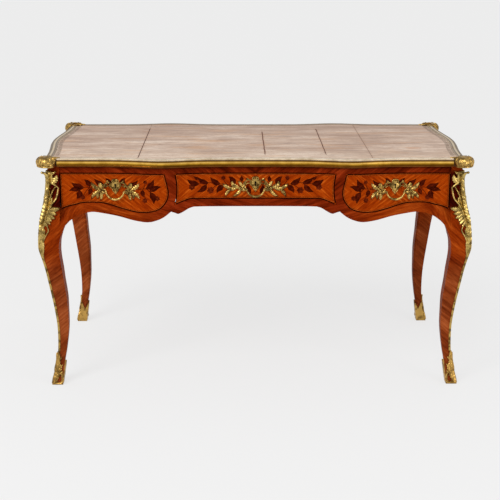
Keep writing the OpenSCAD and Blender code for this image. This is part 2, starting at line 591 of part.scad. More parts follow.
module shoe_half(face, other) {
    shoe_cuff(face, other);
    intersection() {
        along_y() difference() {
            polygon([for (p = shoe_plate) [face + p[0], p[1] / 112 * sabot_h]]);
            polygon([for (p = shoe_window) [face + p[0], p[1] / 112 * sabot_h]]);
        }
        along_y() polygon(concat([[face - 60, 0], [face + outer_foot + sabot_t, 0]],
            [for (p = flip(outer_curve())) [face + p[0] + sabot_t, p[1]]], [[face - 60, frieze_z]]));
        along_x() polygon(concat([[-other - outer_foot - sabot_t, 0]],
            [for (p = flip(outer_curve())) [-other - p[0] - sabot_t, p[1]]],
            [for (p = outer_curve()) [-other - p[0] - bed, p[1]]], [[-other - outer_foot - bed, 0]]));
    }
    for (v = shoe_leaves) leaf([for (p = leaf_points(v[0], v[1], v[2], v[3], 3.5))
        [face + p[0], -other - leg_out(p[1]) - sabot_t + 1.5 - p[2], p[1]]]);
}
outer_foot = lower_leg[len(lower_leg) - 1][0];
inner_foot = inner_leg[len(inner_leg) - 1][0];
module sabot() color(bronze) {
    shoe_half(half_w, half_d);
    mirror([1, 1, 0]) shoe_half(half_d, half_w);
    box([cheek_x + inner_foot - sabot_t, -half_d - outer_foot - sabot_t, 0],
        [half_w + outer_foot + sabot_t, -cheek_y - inner_foot + sabot_t, sole_t - 0.05]);
}

// Dovetails in a row up the side of a drawer, grown by the clearance where they are cut
tail_count = 3;
module tails(x0, x1, y0, y1, low, high, grow) {
    pitch = (high - low) / tail_count;
    root = 0.26 * pitch + grow;
    tip = 0.36 * pitch + grow;
    for (i = [0 : tail_count - 1]) let (z = low + (i + 0.5) * pitch)
        translate([x0, 0, 0]) rotate([90, 0, 90]) linear_extrude(height = x1 - x0)
            polygon([[y0, z - root], [y1, z - tip], [y1, z + tip], [y0, z + root]]);
}
function panel_low(low) = low + 6;

module drawer_front(x0, x1, low, centre) difference() {
    intersection() {
        front_band(centre == 0 ? -centre_half : outer_x0, centre == 0 ? centre_half : outer_x1,
            opening_z - 140, opening_z, box_y0);
        along_y() if (centre == 0) centre_front_outline(); else outer_front_outline();
    }
    for (x = [x0, x1 - box_t])
        tails(x - fit, x + box_t + fit, -box_y0 + 1, -box_y0 - tail_l - fit, low, box_top, fit);
    box([x0 + box_t - groove_d - fit, -box_y0 - groove_d - fit, panel_low(low) - fit],
        [x1 - box_t + groove_d + fit, -box_y0 + 1, panel_low(low) + bottom_t + fit]);
    box([centre - lock_w / 2 - fit, -box_y0 - lock_t - fit, opening_z - drawer_gap - lock_h - fit],
        [centre + lock_w / 2 + fit, -box_y0 + 1, opening_z]);
    translate([centre, 0, handle_z(centre)]) rotate([90, 0, 0]) cylinder(r = key_r, h = far, $fn = 32);
    for (s = [-1, 1]) translate([centre + s * pommel_x, 0, handle_z(centre) - post_drop])
        rotate([90, 0, 0]) cylinder(r = shank_r + fit, h = far, $fn = 32);
}

module drawer_sides(x0, x1, low) for (x = [x0, x1 - box_t]) difference() {
    union() {
        box([x, -box_y0 + fit, low], [x + box_t, box_y1 - box_t, box_top]);
        tails(x, x + box_t, -box_y0 + fit + 0.5, -box_y0 - tail_l, low, box_top, 0);
        tails(x, x + box_t, box_y1 - box_t - 0.5, box_y1, low, box_top, 0);
    }
    box([x0 + box_t - groove_d - fit, -box_y0 - groove_d - fit, panel_low(low) - fit],
        [x1 - box_t + groove_d + fit, box_y1 + 1, panel_low(low) + bottom_t + fit]);
}

module drawer_back(x0, x1, low) difference() {
    box([x0, box_y1 - box_t + fit, panel_low(low) + bottom_t + fit], [x1, box_y1, box_top - 3]);
    for (x = [x0, x1 - box_t])
        tails(x - 1, x + box_t + fit, box_y1 - box_t, box_y1 + 1, low, box_top, fit + 0.2);
}

module drawer_bottom(x0, x1, low) box([x0 + box_t - groove_d, -box_y0 - groove_d, panel_low(low)],
    [x1 - box_t + groove_d, box_y1, panel_low(low) + bottom_t]);

// Lock: a case let into the back of the drawer front, and a bolt that shoots up into the rail
module lock_case(centre) difference() {
    box([centre - lock_w / 2, -box_y0 - lock_t, opening_z - drawer_gap - lock_h],
        [centre + lock_w / 2, -box_y0, opening_z - drawer_gap]);
    box([centre - bolt_w / 2 - run_gap, -bolt_y - bolt_t / 2 - run_gap, bolt_foot - run_gap],
        [centre + bolt_w / 2 + run_gap, -bolt_y + bolt_t / 2 + run_gap, opening_z]);
    translate([centre, -box_y0 - lock_t / 2, handle_z(centre)]) rotate([90, 0, 0])
        cylinder(r = key_r, h = lock_t, $fn = 32);
}
bolt_foot = opening_z - drawer_gap - 30;
module lock_bolt(centre) difference() {
    box([centre - bolt_w / 2, -bolt_y - bolt_t / 2, bolt_foot],
        [centre + bolt_w / 2, -bolt_y + bolt_t / 2, opening_z - drawer_gap - 0.3]);
    box([centre - 3.5, -bolt_y - bolt_t, bolt_foot - 1], [centre + 3.5, -bolt_y + bolt_t, bolt_foot + 6]);
}

// Handles: a leafy back plate with the keyhole, two pommels and a bail
post_drop = 19;
function handle_z(x) = opening_z - (x == 0 ? centre_handle_drop : outer_handle_drop);
function bail_y(x) = face_y(abs(x) - pommel_x) + bail_stand;
shield = [[0, 22], [4, 16], [7, 13], [13, 3], [15, 0], [10, -5], [6, -14], [0, -22]];
arm_outer = [[6, 12], [18, 8], [28, 3], [37, -3], [43, -13]];
arm_inner = [[12, 3], [20, 2], [27, -3], [31, -9], [33, -17]];
side_sprays = [[[50, -15], 28, 38, 14], [[50, -12], 100, 22, 11], [[52, -16], -32, 38, 13],
    [[50, -18], -105, 30, 12], [[46, -12], 60, 20, 9], [[54, -18], -68, 24, 9]];
centre_sprays = [[[50, -18], 22, 40, 14], [[46, -14], 78, 20, 11], [[47, -19], -58, 38, 12],
    [[62, -18], -8, 34, 14], [[78, -18], 14, 34, 12], [[80, -20], -36, 32, 12], [[72, -14], 68, 18, 9],
    [[44, -18], 118, 16, 9]];
module plate_outline() difference() {
    for (s = [0, 1]) mirror([s, 0]) {
        polygon(shield);
        polygon(concat(smooth(arm_outer, 2), flip(smooth(arm_inner, 2))));
        translate([42, -17]) circle(r = 9, $fn = 14);
    }
    circle(r = key_r, $fn = 14);
    translate([-0.8, -8]) square([1.6, 8]);
}
leaf_lift = 0.9;
collar_r = shank_r + 1.2;
module handle_plate(centre, sprays) {
    reach = 60;
    difference() {
        union() {
            intersection() {
                difference() {
                    front_band(centre - reach, centre + reach, opening_z - 130, opening_z, cheek_y,
                        bed + plate_t);
                    front_band(centre - reach - 1, centre + reach + 1, opening_z - 131, opening_z + 1,
                        cheek_y - 1, bed);
                }
                translate([centre, 0, handle_z(centre)]) along_y() plate_outline();
            }
            for (s = [-1, 1]) for (v = sprays)
                leaf([for (p = leaf_points(v[0], v[1], v[2], v[3], plate_t + 2)) let (x = centre + s * p[0])
                    [x, -front_face(x) - leaf_lift - p[2], handle_z(centre) + p[1]]], s < 0);
        }
        for (s = [-1, 1]) translate([centre + s * pommel_x, 0, handle_z(centre) - post_drop])
            rotate([90, 0, 0]) cylinder(r = collar_r + 0.4, h = far, $fn = 32);
    }
}

nut_t = 3.5;
module handle_posts(centre, inner) for (s = [-1, 1])
    translate([centre + s * pommel_x, 0, handle_z(centre) - post_drop]) {
    front = max([for (d = [-collar_r, collar_r]) front_face(centre + s * pommel_x + d)]) + bed;
    difference() {
        union() {
            translate([0, -inner + nut_t + 1, 0]) rotate([90, 0, 0])
                cylinder(r = shank_r, h = bail_y(centre) - inner + nut_t + 1, $fn = 32);
            translate([0, -front, 0]) rotate([90, 0, 0])
                cylinder(r = collar_r, h = bail_y(centre) - front, $fn = 32);
            translate([0, -bail_y(centre), 0]) rotate([0, 0, -90]) sphere(r = pommel_r, $fn = 48);
            translate([0, -inner + nut_t + bed, 0]) rotate([90, 0, 0]) cylinder(r = 5.5, h = nut_t, $fn = 6);
        }
        translate([0, -bail_y(centre), 0]) rotate([0, -90 * s, 0]) translate([0, 0, -1.5])
            cylinder(r = pin_r + pin_gap, h = pommel_r + 3, $fn = 32);
    }
}

module bail(centre) translate([centre, -bail_y(centre), handle_z(centre) - post_drop]) {
    half = pommel_x - pommel_r - 4;
    r = (half * half + bail_drop * bail_drop) / (2 * bail_drop);
    turn = asin(half / r);
    translate([0, 0, r - bail_drop]) rotate([90, 0, 0]) rotate([0, 0, -90 - turn])
        rotate_extrude(angle = 2 * turn, $fn = 96) translate([r, 0]) circle(r = bail_r, $fn = 32);
    for (s = [-1, 1]) translate([s * half, 0, 0]) {
        sphere(r = bail_r + 0.25, $fn = 40);
        rotate([0, 90 * s, 0]) cylinder(r = pin_r, h = pommel_r + 4.5, $fn = 32);
    }
    for (x = [-5, 0, 5]) translate([0, 0, r - bail_drop]) rotate([0, x / r * 57.3, 0]) translate([0, 0, -r])
        rotate([0, 90, 0]) translate([0, 0, -1.4])
            cylinder(r = bail_r + (x == 0 ? 1.3 : 0.7), h = 2.8, $fn = 40);
}

// The pieces of each drawer in their places
module outer_drawer(side, what) mirror([side < 0 ? 1 : 0, 0, 0]) {
    low = box_top - outer_box_h;
    x0 = outer_box_x0;
    x1 = outer_box_x1;
    if (what == "front") color(wood_orange) drawer_front(x0, x1, low, handle_x);
    if (what == "sides") color(wood_plain) drawer_sides(x0, x1, low);
    if (what == "back") color(wood_plain) drawer_back(x0, x1, low);
    if (what == "bottom") color(wood_plain) drawer_bottom(x0, x1, low);
    if (what == "plate") color(bronze) handle_plate(handle_x, side_sprays);
    if (what == "posts") color(bronze) handle_posts(handle_x, box_y0);
    if (what == "bail") color(bronze) bail(handle_x);
    if (what == "lock") color(steel) lock_case(handle_x);
    if (what == "bolt") color(steel) lock_bolt(handle_x);
}
module centre_drawer(what) {
    low = box_top - centre_box_h;
    x = centre_box_x;
    if (what == "front") color(wood_orange) drawer_front(-x, x, low, 0);
    if (what == "sides") color(wood_plain) drawer_sides(-x, x, low);
    if (what == "back") color(wood_plain) drawer_back(-x, x, low);
    if (what == "bottom") color(wood_plain) drawer_bottom(-x, x, low);
    if (what == "plate") color(bronze) handle_plate(0, centre_sprays);
    if (what == "posts") color(bronze) handle_posts(0, box_y0);
    if (what == "bail") color(bronze) bail(0);
    if (what == "lock") color(steel) lock_case(0);
    if (what == "bolt") color(steel) lock_bolt(0);
}
module at_back() rotate([0, 0, 180]) children();
module back_handle_plates() color(bronze) at_back() {
    handle_plate(handle_x, side_sprays);
    handle_plate(0, centre_sprays);
    mirror([1, 0, 0]) handle_plate(handle_x, side_sprays);
}
module back_handle_posts() color(bronze) at_back() {
    handle_posts(handle_x, cheek_y);
    handle_posts(0, cheek_y);
    mirror([1, 0, 0]) handle_posts(handle_x, cheek_y);
}

mirror([1, 0, 0]) mirror([0, 1, 0]) leg();  // leg_front_left
mirror([0, 1, 0]) leg();  // leg_front_right
mirror([1, 0, 0]) leg();  // leg_back_left
leg();  // leg_back_right
front_top_rail();
front_apron();
front_dividers();
back_frieze();
color(wood_red) mirror([1, 0, 0]) side_frieze();  // side_frieze_left
color(wood_red) side_frieze();  // side_frieze_right
knee_blocks();
drawer_partitions();
drawer_guides();
top_board();
leather(-far, -seam_x - seam_gap / 2);  // leather_left
color(hide) leather_centre();
leather(seam_x + seam_gap / 2, far);  // leather_right
mirror([0, 1, 0]) rim_long();  // rim_front
rim_long();  // rim_back
mirror([1, 0, 0]) rim_short();  // rim_left
rim_short();  // rim_right
corner_clasps();
knee_mounts();
leg_fillets();
mirror([1, 0, 0]) sabot();  // sabot_front_left
sabot();  // sabot_front_right
mirror([1, 0, 0]) mirror([0, 1, 0]) sabot();  // sabot_back_left
mirror([0, 1, 0]) sabot();  // sabot_back_right
outer_drawer(-1, "front");  // left_drawer_front
outer_drawer(-1, "sides");  // left_drawer_sides
outer_drawer(-1, "back");  // left_drawer_back
outer_drawer(-1, "bottom");  // left_drawer_bottom
outer_drawer(-1, "plate");  // left_handle_plate
outer_drawer(-1, "posts");  // left_handle_posts
outer_drawer(-1, "bail");  // left_bail
outer_drawer(-1, "lock");  // left_lock
outer_drawer(-1, "bolt");  // left_lock_bolt
centre_drawer("front");  // centre_drawer_front
centre_drawer("sides");  // centre_drawer_sides
centre_drawer("back");  // centre_drawer_back
centre_drawer("bottom");  // centre_drawer_bottom
centre_drawer("plate");  // centre_handle_plate
centre_drawer("posts");  // centre_handle_posts
centre_drawer("bail");  // centre_bail
centre_drawer("lock");  // centre_lock
centre_drawer("bolt");  // centre_lock_bolt
outer_drawer(1, "front");  // right_drawer_front
outer_drawer(1, "sides");  // right_drawer_sides
outer_drawer(1, "back");  // right_drawer_back
outer_drawer(1, "bottom");  // right_drawer_bottom
outer_drawer(1, "plate");  // right_handle_plate
outer_drawer(1, "posts");  // right_handle_posts
outer_drawer(1, "bail");  // right_bail
outer_drawer(1, "lock");  // right_lock
outer_drawer(1, "bolt");  // right_lock_bolt
back_handle_plates();
back_handle_posts();
color(bronze) at_back() bail(handle_x);  // back_bail_left
color(bronze) at_back() bail(0);  // back_bail_centre
color(bronze) at_back() mirror([1, 0, 0]) bail(handle_x);  // back_bail_right
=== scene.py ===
# Bureau plat: looks of a writing desk with marquetry drawers, gilt bronze mounts and a leather top.
import math
import re
import bmesh
import bpy
import numpy as np
from mathutils import Matrix, Vector
from mathutils.geometry import delaunay_2d_cdt


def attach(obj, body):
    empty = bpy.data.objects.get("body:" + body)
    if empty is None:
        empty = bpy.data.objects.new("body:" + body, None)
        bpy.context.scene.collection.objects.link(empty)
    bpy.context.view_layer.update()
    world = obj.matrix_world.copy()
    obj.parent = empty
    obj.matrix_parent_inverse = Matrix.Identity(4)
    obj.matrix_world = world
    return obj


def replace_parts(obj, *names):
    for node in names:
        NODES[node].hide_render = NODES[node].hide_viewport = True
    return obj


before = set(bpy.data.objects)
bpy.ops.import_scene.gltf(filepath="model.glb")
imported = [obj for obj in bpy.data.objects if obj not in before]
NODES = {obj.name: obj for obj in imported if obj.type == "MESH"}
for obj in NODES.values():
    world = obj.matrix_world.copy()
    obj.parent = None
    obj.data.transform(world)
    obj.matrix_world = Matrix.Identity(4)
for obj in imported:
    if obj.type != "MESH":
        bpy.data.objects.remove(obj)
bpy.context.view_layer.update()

# Sizes of the desk, in metres, as in the CAD model
DESK_H = 0.780
HALF_W = 0.678
HALF_D = 0.352
SETBACK = 0.008
BULGE, BULGE_X, BULGE_LEN = 0.025, 0.310, 0.095
SIDE_BOW, SIDE_LEN = 0.022, 0.174
GRID_STEP = 0.02
FRIEZE_Z = 0.753
KNEE_Z = 0.518
SOLE_T = 0.003
ARRIS_R = 0.005
OVERHANG = 0.018
RIM_W = 0.024
SEAM_X = 0.384
HANDLE_X = 0.459
OUTER_HANDLE_Z = 0.688
CENTRE_HANDLE_Z = 0.696
POMMEL_X = 0.0385
POST_DROP = 0.019
BAIL_STAND = 0.011
# A length too small to divide by
TINY = 1e-9


def face_y(x):
    """Half depth of the frieze at x."""
    return HALF_D - SETBACK + BULGE * math.exp(-((abs(x) - BULGE_X) / BULGE_LEN) ** 2)


def face_x(y):
    """Half width of the frieze at y."""
    return HALF_W - SETBACK + SIDE_BOW * math.exp(-(y / SIDE_LEN) ** 2)


def spline(points, n):
    """Smooth curve through points, with n steps between two of them."""
    p = np.array(points, float)
    last = len(p) - 1
    out = []
    for i in range(last):
        a, b, c, d = p[max(i - 1, 0)], p[i], p[i + 1], p[min(i + 2, last)]
        for k in range(n):
            t = k / n
            out.append(0.5 * (2 * b + (c - a) * t + (2 * a - 5 * b + 4 * c - d) * t * t
                              + (3 * b - a - 3 * c + d) * t ** 3))
    out.append(p[last])
    return np.array(out)


def run_length(line):
    """Distance along a line from its start, at each of its points."""
    return np.concatenate([[0], np.cumsum(np.hypot(*np.diff(line, axis=0).T))])


def resampled(line, at):
    """Points of a line at the given distances along it."""
    length = run_length(line)
    return np.stack([np.interp(at, length, line[:, 0]), np.interp(at, length, line[:, 1])], 1)


def oval(u, v, wide, tall, n=20):
    """Closed outline of n points round a centre."""
    turns = np.linspace(0, 2 * math.pi, n, endpoint=False)
    return [(u + wide * math.cos(b), v + tall * math.sin(b)) for b in turns]


def grid_faces(rows, columns, closed=False):
    """Faces between rows of points that lie one after another; each row is open or closed to a ring."""
    pairs = [(j, (j + 1) % columns) for j in range(columns if closed else columns - 1)]
    return [(low + j, low + k, low + columns + k, low + columns + j)
            for low in range(0, (rows - 1) * columns, columns) for j, k in pairs]


# Outer outline of a leg: out from the post's face, then height from the frieze's top, in millimetres
UPPER_LEG = [(0, 0), (0, -30), (0, -53), (2, -80), (5, -103), (9.5, -125), (15, -145), (22, -171),
             (27, -200)]
# Below the knee: out from the post's face in millimetres, then share of the height from the sole to the knee
LOWER_LEG = [(30.5, 1), (32, 0.955), (31, 0.92), (25.5, 0.872), (19.5, 0.82), (14.5, 0.77),
             (9.5, 0.709), (-1.5, 0.575), (-7.5, 0.488), (-12, 0.4), (-13, 0.328), (-12.5, 0.27),
             (-11, 0.212), (-9, 0.164), (-5.5, 0.116), (-1, 0.07), (3, 0.035), (7.5, 0)]
LEG_CURVE = spline([(a / 1000, FRIEZE_Z + b / 1000) for a, b in UPPER_LEG]
                   + [(a / 1000, SOLE_T + b * (KNEE_Z - SOLE_T)) for a, b in LOWER_LEG], 2)


def leg_out(z):
    """How far a leg's outer faces stand out from the post's faces at height z."""
    return float(np.interp(z, LEG_CURVE[::-1, 1], LEG_CURVE[::-1, 0]))


def front_grid():
    """Points of the serpentine that the built faces run through: more of them where it swells."""
    marks = [k * GRID_STEP for k in range(38) if k % 4 == 0 or abs(k * GRID_STEP - BULGE_X) < 1.7 * BULGE_LEN]
    return np.array(marks), np.array([face_y(x) for x in marks])


GRID_X, GRID_Y = front_grid()


def front_face(x):
    """Half depth of the built face of the frieze at x."""
    return float(np.interp(abs(x), GRID_X, GRID_Y))


def on_front(centre, height, back=False):
    """Place on the front at a handle's centre: across, up and out from the face, in millimetres."""
    def place(u, v, h):
        x = centre + u / 1000
        y = -front_face(x) - h / 1000
        return (-x, -y, height + v / 1000) if back else (x, y, height + v / 1000)
    return place


def on_leg(side, end):
    """Place on a leg: distance round from its arris, positive on the front or back face, height, out."""
    arc = math.pi / 4 * ARRIS_R

    def place(a, z, h):
        a, z, h = a / 1000, z / 1000, h / 1000
        out = leg_out(z)
        turn = math.pi / 4 * (1 + max(-1, min(1, a / arc)))
        x = HALF_W + out - ARRIS_R + (ARRIS_R + h) * math.cos(turn) - max(0, a - arc)
        y = HALF_D + out - ARRIS_R + (ARRIS_R + h) * math.sin(turn) - max(0, -a - arc)
        return (side * x, end * y, z)
    return place


def leg_face(leg, side, lift=0.0):
    """Place on one face of a leg: distance in from the post's outer corner, height, out."""
    return lambda t, z, h: leg(side * (leg_out(z / 1000) * 1000 - t), z, h + lift)


def mirrored(place, side):
    """The same place, on the other side of the middle where side is -1."""
    return lambda u, v, h: place(side * u, v, h)


def raised(place, lift):
    """The same place, further out."""
    return lambda u, v, h: place(u, v, h + lift)


# A leaf's lobes: steps in each, share of the width between two, and where in a lobe it is widest
LOBE_STEPS = 6
NOTCH = 0.60
PEAK = 0.8


class Cast:
    """A piece built of closed relief shapes."""

    def __init__(self):
        self.points = []
        self.faces = []

    def add(self, points, faces):
        first = len(self.points)
        self.points += [tuple(p) for p in points]
        self.faces += [tuple(first + i for i in f) for f in faces]

    def ribbon(self, place, path, width, rise, lobes=0, form="round", sunk=0.6, across=8, n=6):
        """Relief along a path of (across, up) points: leaf, scroll or stem. Widths and rises run along it."""
        path = spline(path, n)
        count = lobes * LOBE_STEPS + 1 if lobes else len(path)
        stations = np.linspace(0, 1, count)
        line = resampled(path, stations * run_length(path)[-1])
        ahead = np.gradient(line, axis=0)
        ahead /= np.maximum(np.hypot(*ahead.T), TINY)[:, None]
        left = np.stack([-ahead[:, 1], ahead[:, 0]], 1)
        widths = np.interp(stations, np.linspace(0, 1, len(width)), width)
        rises = np.interp(stations, np.linspace(0, 1, len(rise)), rise)
        top = []
        for i, s in enumerate(stations):
            cut = self.tooth(s * lobes) if lobes and 0 < i < count - 1 else 1.0
            for c in np.linspace(-1, 1, across + 1):
                w = widths[i] * (1 - (1 - cut) * abs(c) ** 0.5)
                lead = 0.16 * widths[i] * abs(c) ** 1.5 if lobes else 0.0
                p = line[i] + left[i] * c * w + ahead[i] * lead
                top.append((p[0], p[1], rises[i] * self.section(form, c, s * lobes)))
        row = across + 1
        low = [(*top[i * row + j][:2], -sunk) for i in range(count) for j in (0, across)]
        faces = grid_faces(count, row)
        for i in range(count - 1):
            near, far, under = i * row, (i + 1) * row, count * row + 2 * i
            faces += [(under, under + 2, under + 3, under + 1), (near, far, under + 2, under),
                      (near + across, under + 1, under + 3, far + across)]
        for i in (0, count - 1):
            faces.append((*range(i * row, (i + 1) * row), count * row + 2 * i + 1, count * row + 2 * i))
        self.add([place(*p) for p in top + low], faces)

    @staticmethod
    def tooth(phase):
        """Share of a leaf's width at a place along its lobes."""
        phase %= 1.0
        share = phase / PEAK if phase < PEAK else (1 - phase) / (1 - PEAK)
        return NOTCH + (1 - NOTCH) * math.sin(math.pi / 2 * share)

    @staticmethod
    def section(form, c, phase):
        """Share of the rise at c across a ribbon, from -1 to 1."""
        if form == "leaf":
            vein = 0.5 + 0.5 * math.cos(2 * math.pi * (phase - 0.55 * abs(c)))
            body = max(0.0, 1 - abs(c) ** 2.2) ** 0.7 * (1 - 0.42 * vein * abs(c) ** 0.4)
            return 0.16 + 0.72 * body + 0.22 * math.exp(-(c / 0.13) ** 2)
        if form == "fluted":
            return 0.30 + 0.55 * max(0.0, 1 - c * c) ** 0.5 + 0.15 * math.cos(3 * math.pi * c)
        if form == "flat":
            return 1.0
        return 0.12 + 0.88 * max(0.0, 1 - c * c) ** 0.5

    def leaf(self, place, base, angle, length, width, rise, bend=0.0, lobes=5, lift=0.3, curl=0.5):
        """Toothed leaf from its base at an angle in degrees; bend turns it to its left along its length."""
        path = []
        for t in np.linspace(0, 1, 6):
            turn = math.radians(angle) + bend * t * t
            path.append((base[0] + length * t * math.cos(turn), base[1] + length * t * math.sin(turn)))
        widths = [width / 2 * share for share in (0.30, 0.72, 1.0, 0.98, 0.80, 0.50, 0.06)]
        rises = [rise * share for share in (0.8, 1.0, 1.0, 0.92, 0.85, 0.6 + curl * 0.5, 0.35 + curl)]
        self.ribbon(raised(place, lift), path, widths, rises, lobes, "leaf", sunk=lift + 0.5)

    def dart(self, place, base, tip, width, rise, bend=0.0, lobes=5, lift=1.0, curl=0.4):
        """Toothed leaf from its base to its tip."""
        u, v = tip[0] - base[0], tip[1] - base[1]
        angle = math.degrees(math.atan2(v, u) - bend)
        self.leaf(place, base, angle, math.hypot(u, v), width, rise, bend, lobes, lift, curl)

    def inlaid(self, place, path, widths, height, across=1, n=1, sunk=0.3):
        """Flat strip let into a panel."""
        self.ribbon(place, path, widths, [height, height], form="flat", sunk=sunk, across=across, n=n)

    def rings(self, rows):
        """Skin over rings of points, with a face at each end; a ring may be all one point."""
        n, sides = len(rows), len(rows[0])
        ends = [tuple(range(sides)), tuple(range((n - 1) * sides, n * sides))]
        self.add([p for row in rows for p in row], grid_faces(n, sides, True) + ends)

    def tube(self, points, radii, sides=12):
        """Round bar through points in metres, with a radius in metres at each."""
        p = np.array(points, float)
        r = np.interp(np.linspace(0, 1, len(p)), np.linspace(0, 1, len(radii)), radii)
        ahead = np.gradient(p, axis=0)
        ahead /= np.maximum(np.linalg.norm(ahead, axis=1), TINY)[:, None]
        side = np.cross(ahead[0], (0, 0, 1) if abs(ahead[0][2]) < 0.9 else (1, 0, 0))
        rows = []
        for i in range(len(p)):
            side = side - ahead[i] * np.dot(side, ahead[i])
            side /= np.linalg.norm(side)
            other = np.cross(ahead[i], side)
            rows.append([p[i] + side * a + other * b for a, b in oval(0, 0, r[i], r[i], sides)])
        self.rings(rows)

    def bead(self, centre, radius, flat=(1, 1, 1), rings=8, sides=14, fluted=0.0, flutes=0):
        """Ball or button at a point in metres."""
        x, y, z = centre
        rows = []
        for b in np.linspace(0, math.pi, rings + 1):
            row = []
            for a in np.linspace(0, 2 * math.pi, sides, endpoint=False):
                r = radius * (1 + fluted * math.cos(flutes * a)) * math.sin(b)
                row.append((x + flat[0] * r * math.cos(a), y + flat[1] * radius * math.cos(b),
                            z + flat[2] * r * math.sin(a)))
            rows.append(row)
        self.rings(rows)

    def dome(self, place, outline, rise, centre=(0, 0), sunk=0.6, rings=6):
        """Domed boss over a closed outline of (across, up) points."""
        cu, cv = centre
        rows = [[place(u, v, -sunk) for u, v in outline]]
        for k in range(rings + 1):
            share = 1 - (k / rings) ** 1.3
            h = rise * (0.35 + 0.65 * (1 - share ** 2) ** 0.6)
            rows.append([place(cu + (u - cu) * share, cv + (v - cv) * share, h) for u, v in outline])
        self.rings(rows)

    def slab(self, place, outline, low, high):
        """Flat prism over a closed outline."""
        self.rings([[place(u, v, h) for u, v in outline] for h in (low, high)])

    def done(self, name, material, body, slot, replaced=()):
        """Turns the shapes into one piece on its body."""
        mesh = bpy.data.meshes.new(name)
        mesh.from_pydata(self.points, [], self.faces)
        made = bmesh.new()
        made.from_mesh(mesh)
        bmesh.ops.remove_doubles(made, verts=made.verts, dist=1e-7)
        bmesh.ops.dissolve_degenerate(made, edges=made.edges, dist=1e-7)
        bmesh.ops.recalc_face_normals(made, faces=made.faces)
        made.to_mesh(mesh)
        made.free()
        mesh.shade_smooth()
        mesh.set_sharp_from_angle(angle=math.radians(50))
        mesh.materials.append(material)
        piece = added(name, mesh)
        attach(piece, body)
        if replaced:
            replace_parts(piece, *replaced)
        return piece


def added(name, data):
    """New object of the scene."""
    made = bpy.data.objects.new(name, data)
    bpy.context.scene.collection.objects.link(made)
    return made


class Value:
    """What a node of a material gives; a sum with it becomes a node too."""

    def __init__(self, tree, socket):
        self.tree = tree
        self.socket = socket

    def __add__(self, other):
        return self.tree.math("ADD", self, other)

    def __sub__(self, other):
        return self.tree.math("SUBTRACT", self, other)

    def __rsub__(self, other):
        return self.tree.math("SUBTRACT", other, self)

    def __mul__(self, other):
        return self.tree.math("MULTIPLY", self, other)

    def __truediv__(self, other):
        return self.tree.math("DIVIDE", self, other)

    def __abs__(self):
        return self.tree.math("ABSOLUTE", self)


class Tree:
    """Nodes of a material or of the world, written as calls."""

    def __init__(self, tree):
        self.nodes = tree.nodes
        self.links = tree.links

    def put(self, socket, value):
        """Sets a node's input, or links it to another node's output."""
        if isinstance(value, Value):
            self.links.new(value.socket, socket)
        else:
            socket.default_value = value

    def value(self, kind, inputs=(), output=0, **settings):
        """Output of a new node, with its inputs by name or number."""
        made = self.nodes.new(kind)
        for key, setting in settings.items():
            setattr(made, key, setting)
        for key, value in dict(inputs).items():
            self.put(made.inputs[key], value)
        return Value(self, made.outputs[output])

    def math(self, operation, *terms):
        return self.value("ShaderNodeMath", enumerate(terms), operation=operation)

    def larger(self, a, b):
        return self.math("MAXIMUM", a, b)

    def bell(self, value, middle, width):
        """1 at middle and less to each side, as the plan curves of the desk are."""
        away = (value - middle) / width
        return self.math("EXPONENT", away * away * -1.0)

    def vector(self, x, y, z):
        return self.value("ShaderNodeCombineXYZ", {"X": x, "Y": y, "Z": z})

    def mapped(self, vector, turn=0, scale=(1, 1, 1), move=(0, 0, 0)):
        """Coordinates turned about Y by an angle in degrees, scaled and moved."""
        rotation = (0, math.radians(turn), 0)
        return self.value("ShaderNodeMapping", {"Vector": vector, "Rotation": rotation, "Scale": scale,
                                                "Location": move})

    def noise(self, vector, scale=1.0, detail=3.0, rough=0.5, warp=0.0):
        return self.value("ShaderNodeTexNoise", {"Vector": vector, "Scale": scale, "Detail": detail,
                                                 "Roughness": rough, "Distortion": warp}, "Fac")

    def streaks(self, vector, scale, detail, rough=0.5, warp=0.0, move=(0, 0, 0)):
        """Noise drawn out by a scale of its own along each axis."""
        return self.noise(self.mapped(vector, scale=scale, move=move), 1.0, detail, rough, warp)

    def ramp(self, fac, stops):
        made = self.nodes.new("ShaderNodeValToRGB")
        self.put(made.inputs[0], fac)
        band = made.color_ramp
        while len(band.elements) < len(stops):
            band.elements.new(0.5)
        for element, (at, value) in zip(band.elements, stops):
            element.position = at
            element.color = (*value[:3], 1)
        return Value(self, made.outputs["Color"])

    def tones(self, fac, rows):
        """Ramp through rows of a place and the tone there: red, green and blue from 0 to 255."""
        return self.ramp(fac, [(at, rgb(*tone)) for at, *tone in rows])

    def step(self, value, low, high):
        """0 below low, 1 above high, smooth between them."""
        return self.value("ShaderNodeMapRange", {"Value": value, "From Min": low, "From Max": high},
                          interpolation_type="SMOOTHSTEP")

    def span(self, value, low, high, to_low, to_high):
        return self.value("ShaderNodeMapRange", enumerate([value, low, high, to_low, to_high]))

    def mix(self, fac, a, b, mode="MIX"):
        return self.value("ShaderNodeMix", {"Factor": fac, 6: a, 7: b}, 2, data_type="RGBA", blend_type=mode)

    def stain(self, tone, where, shade, strength=1.0):
        """The tone with another over it, as strong as where says."""
        return self.mix(where * strength, tone, rgb(*shade))


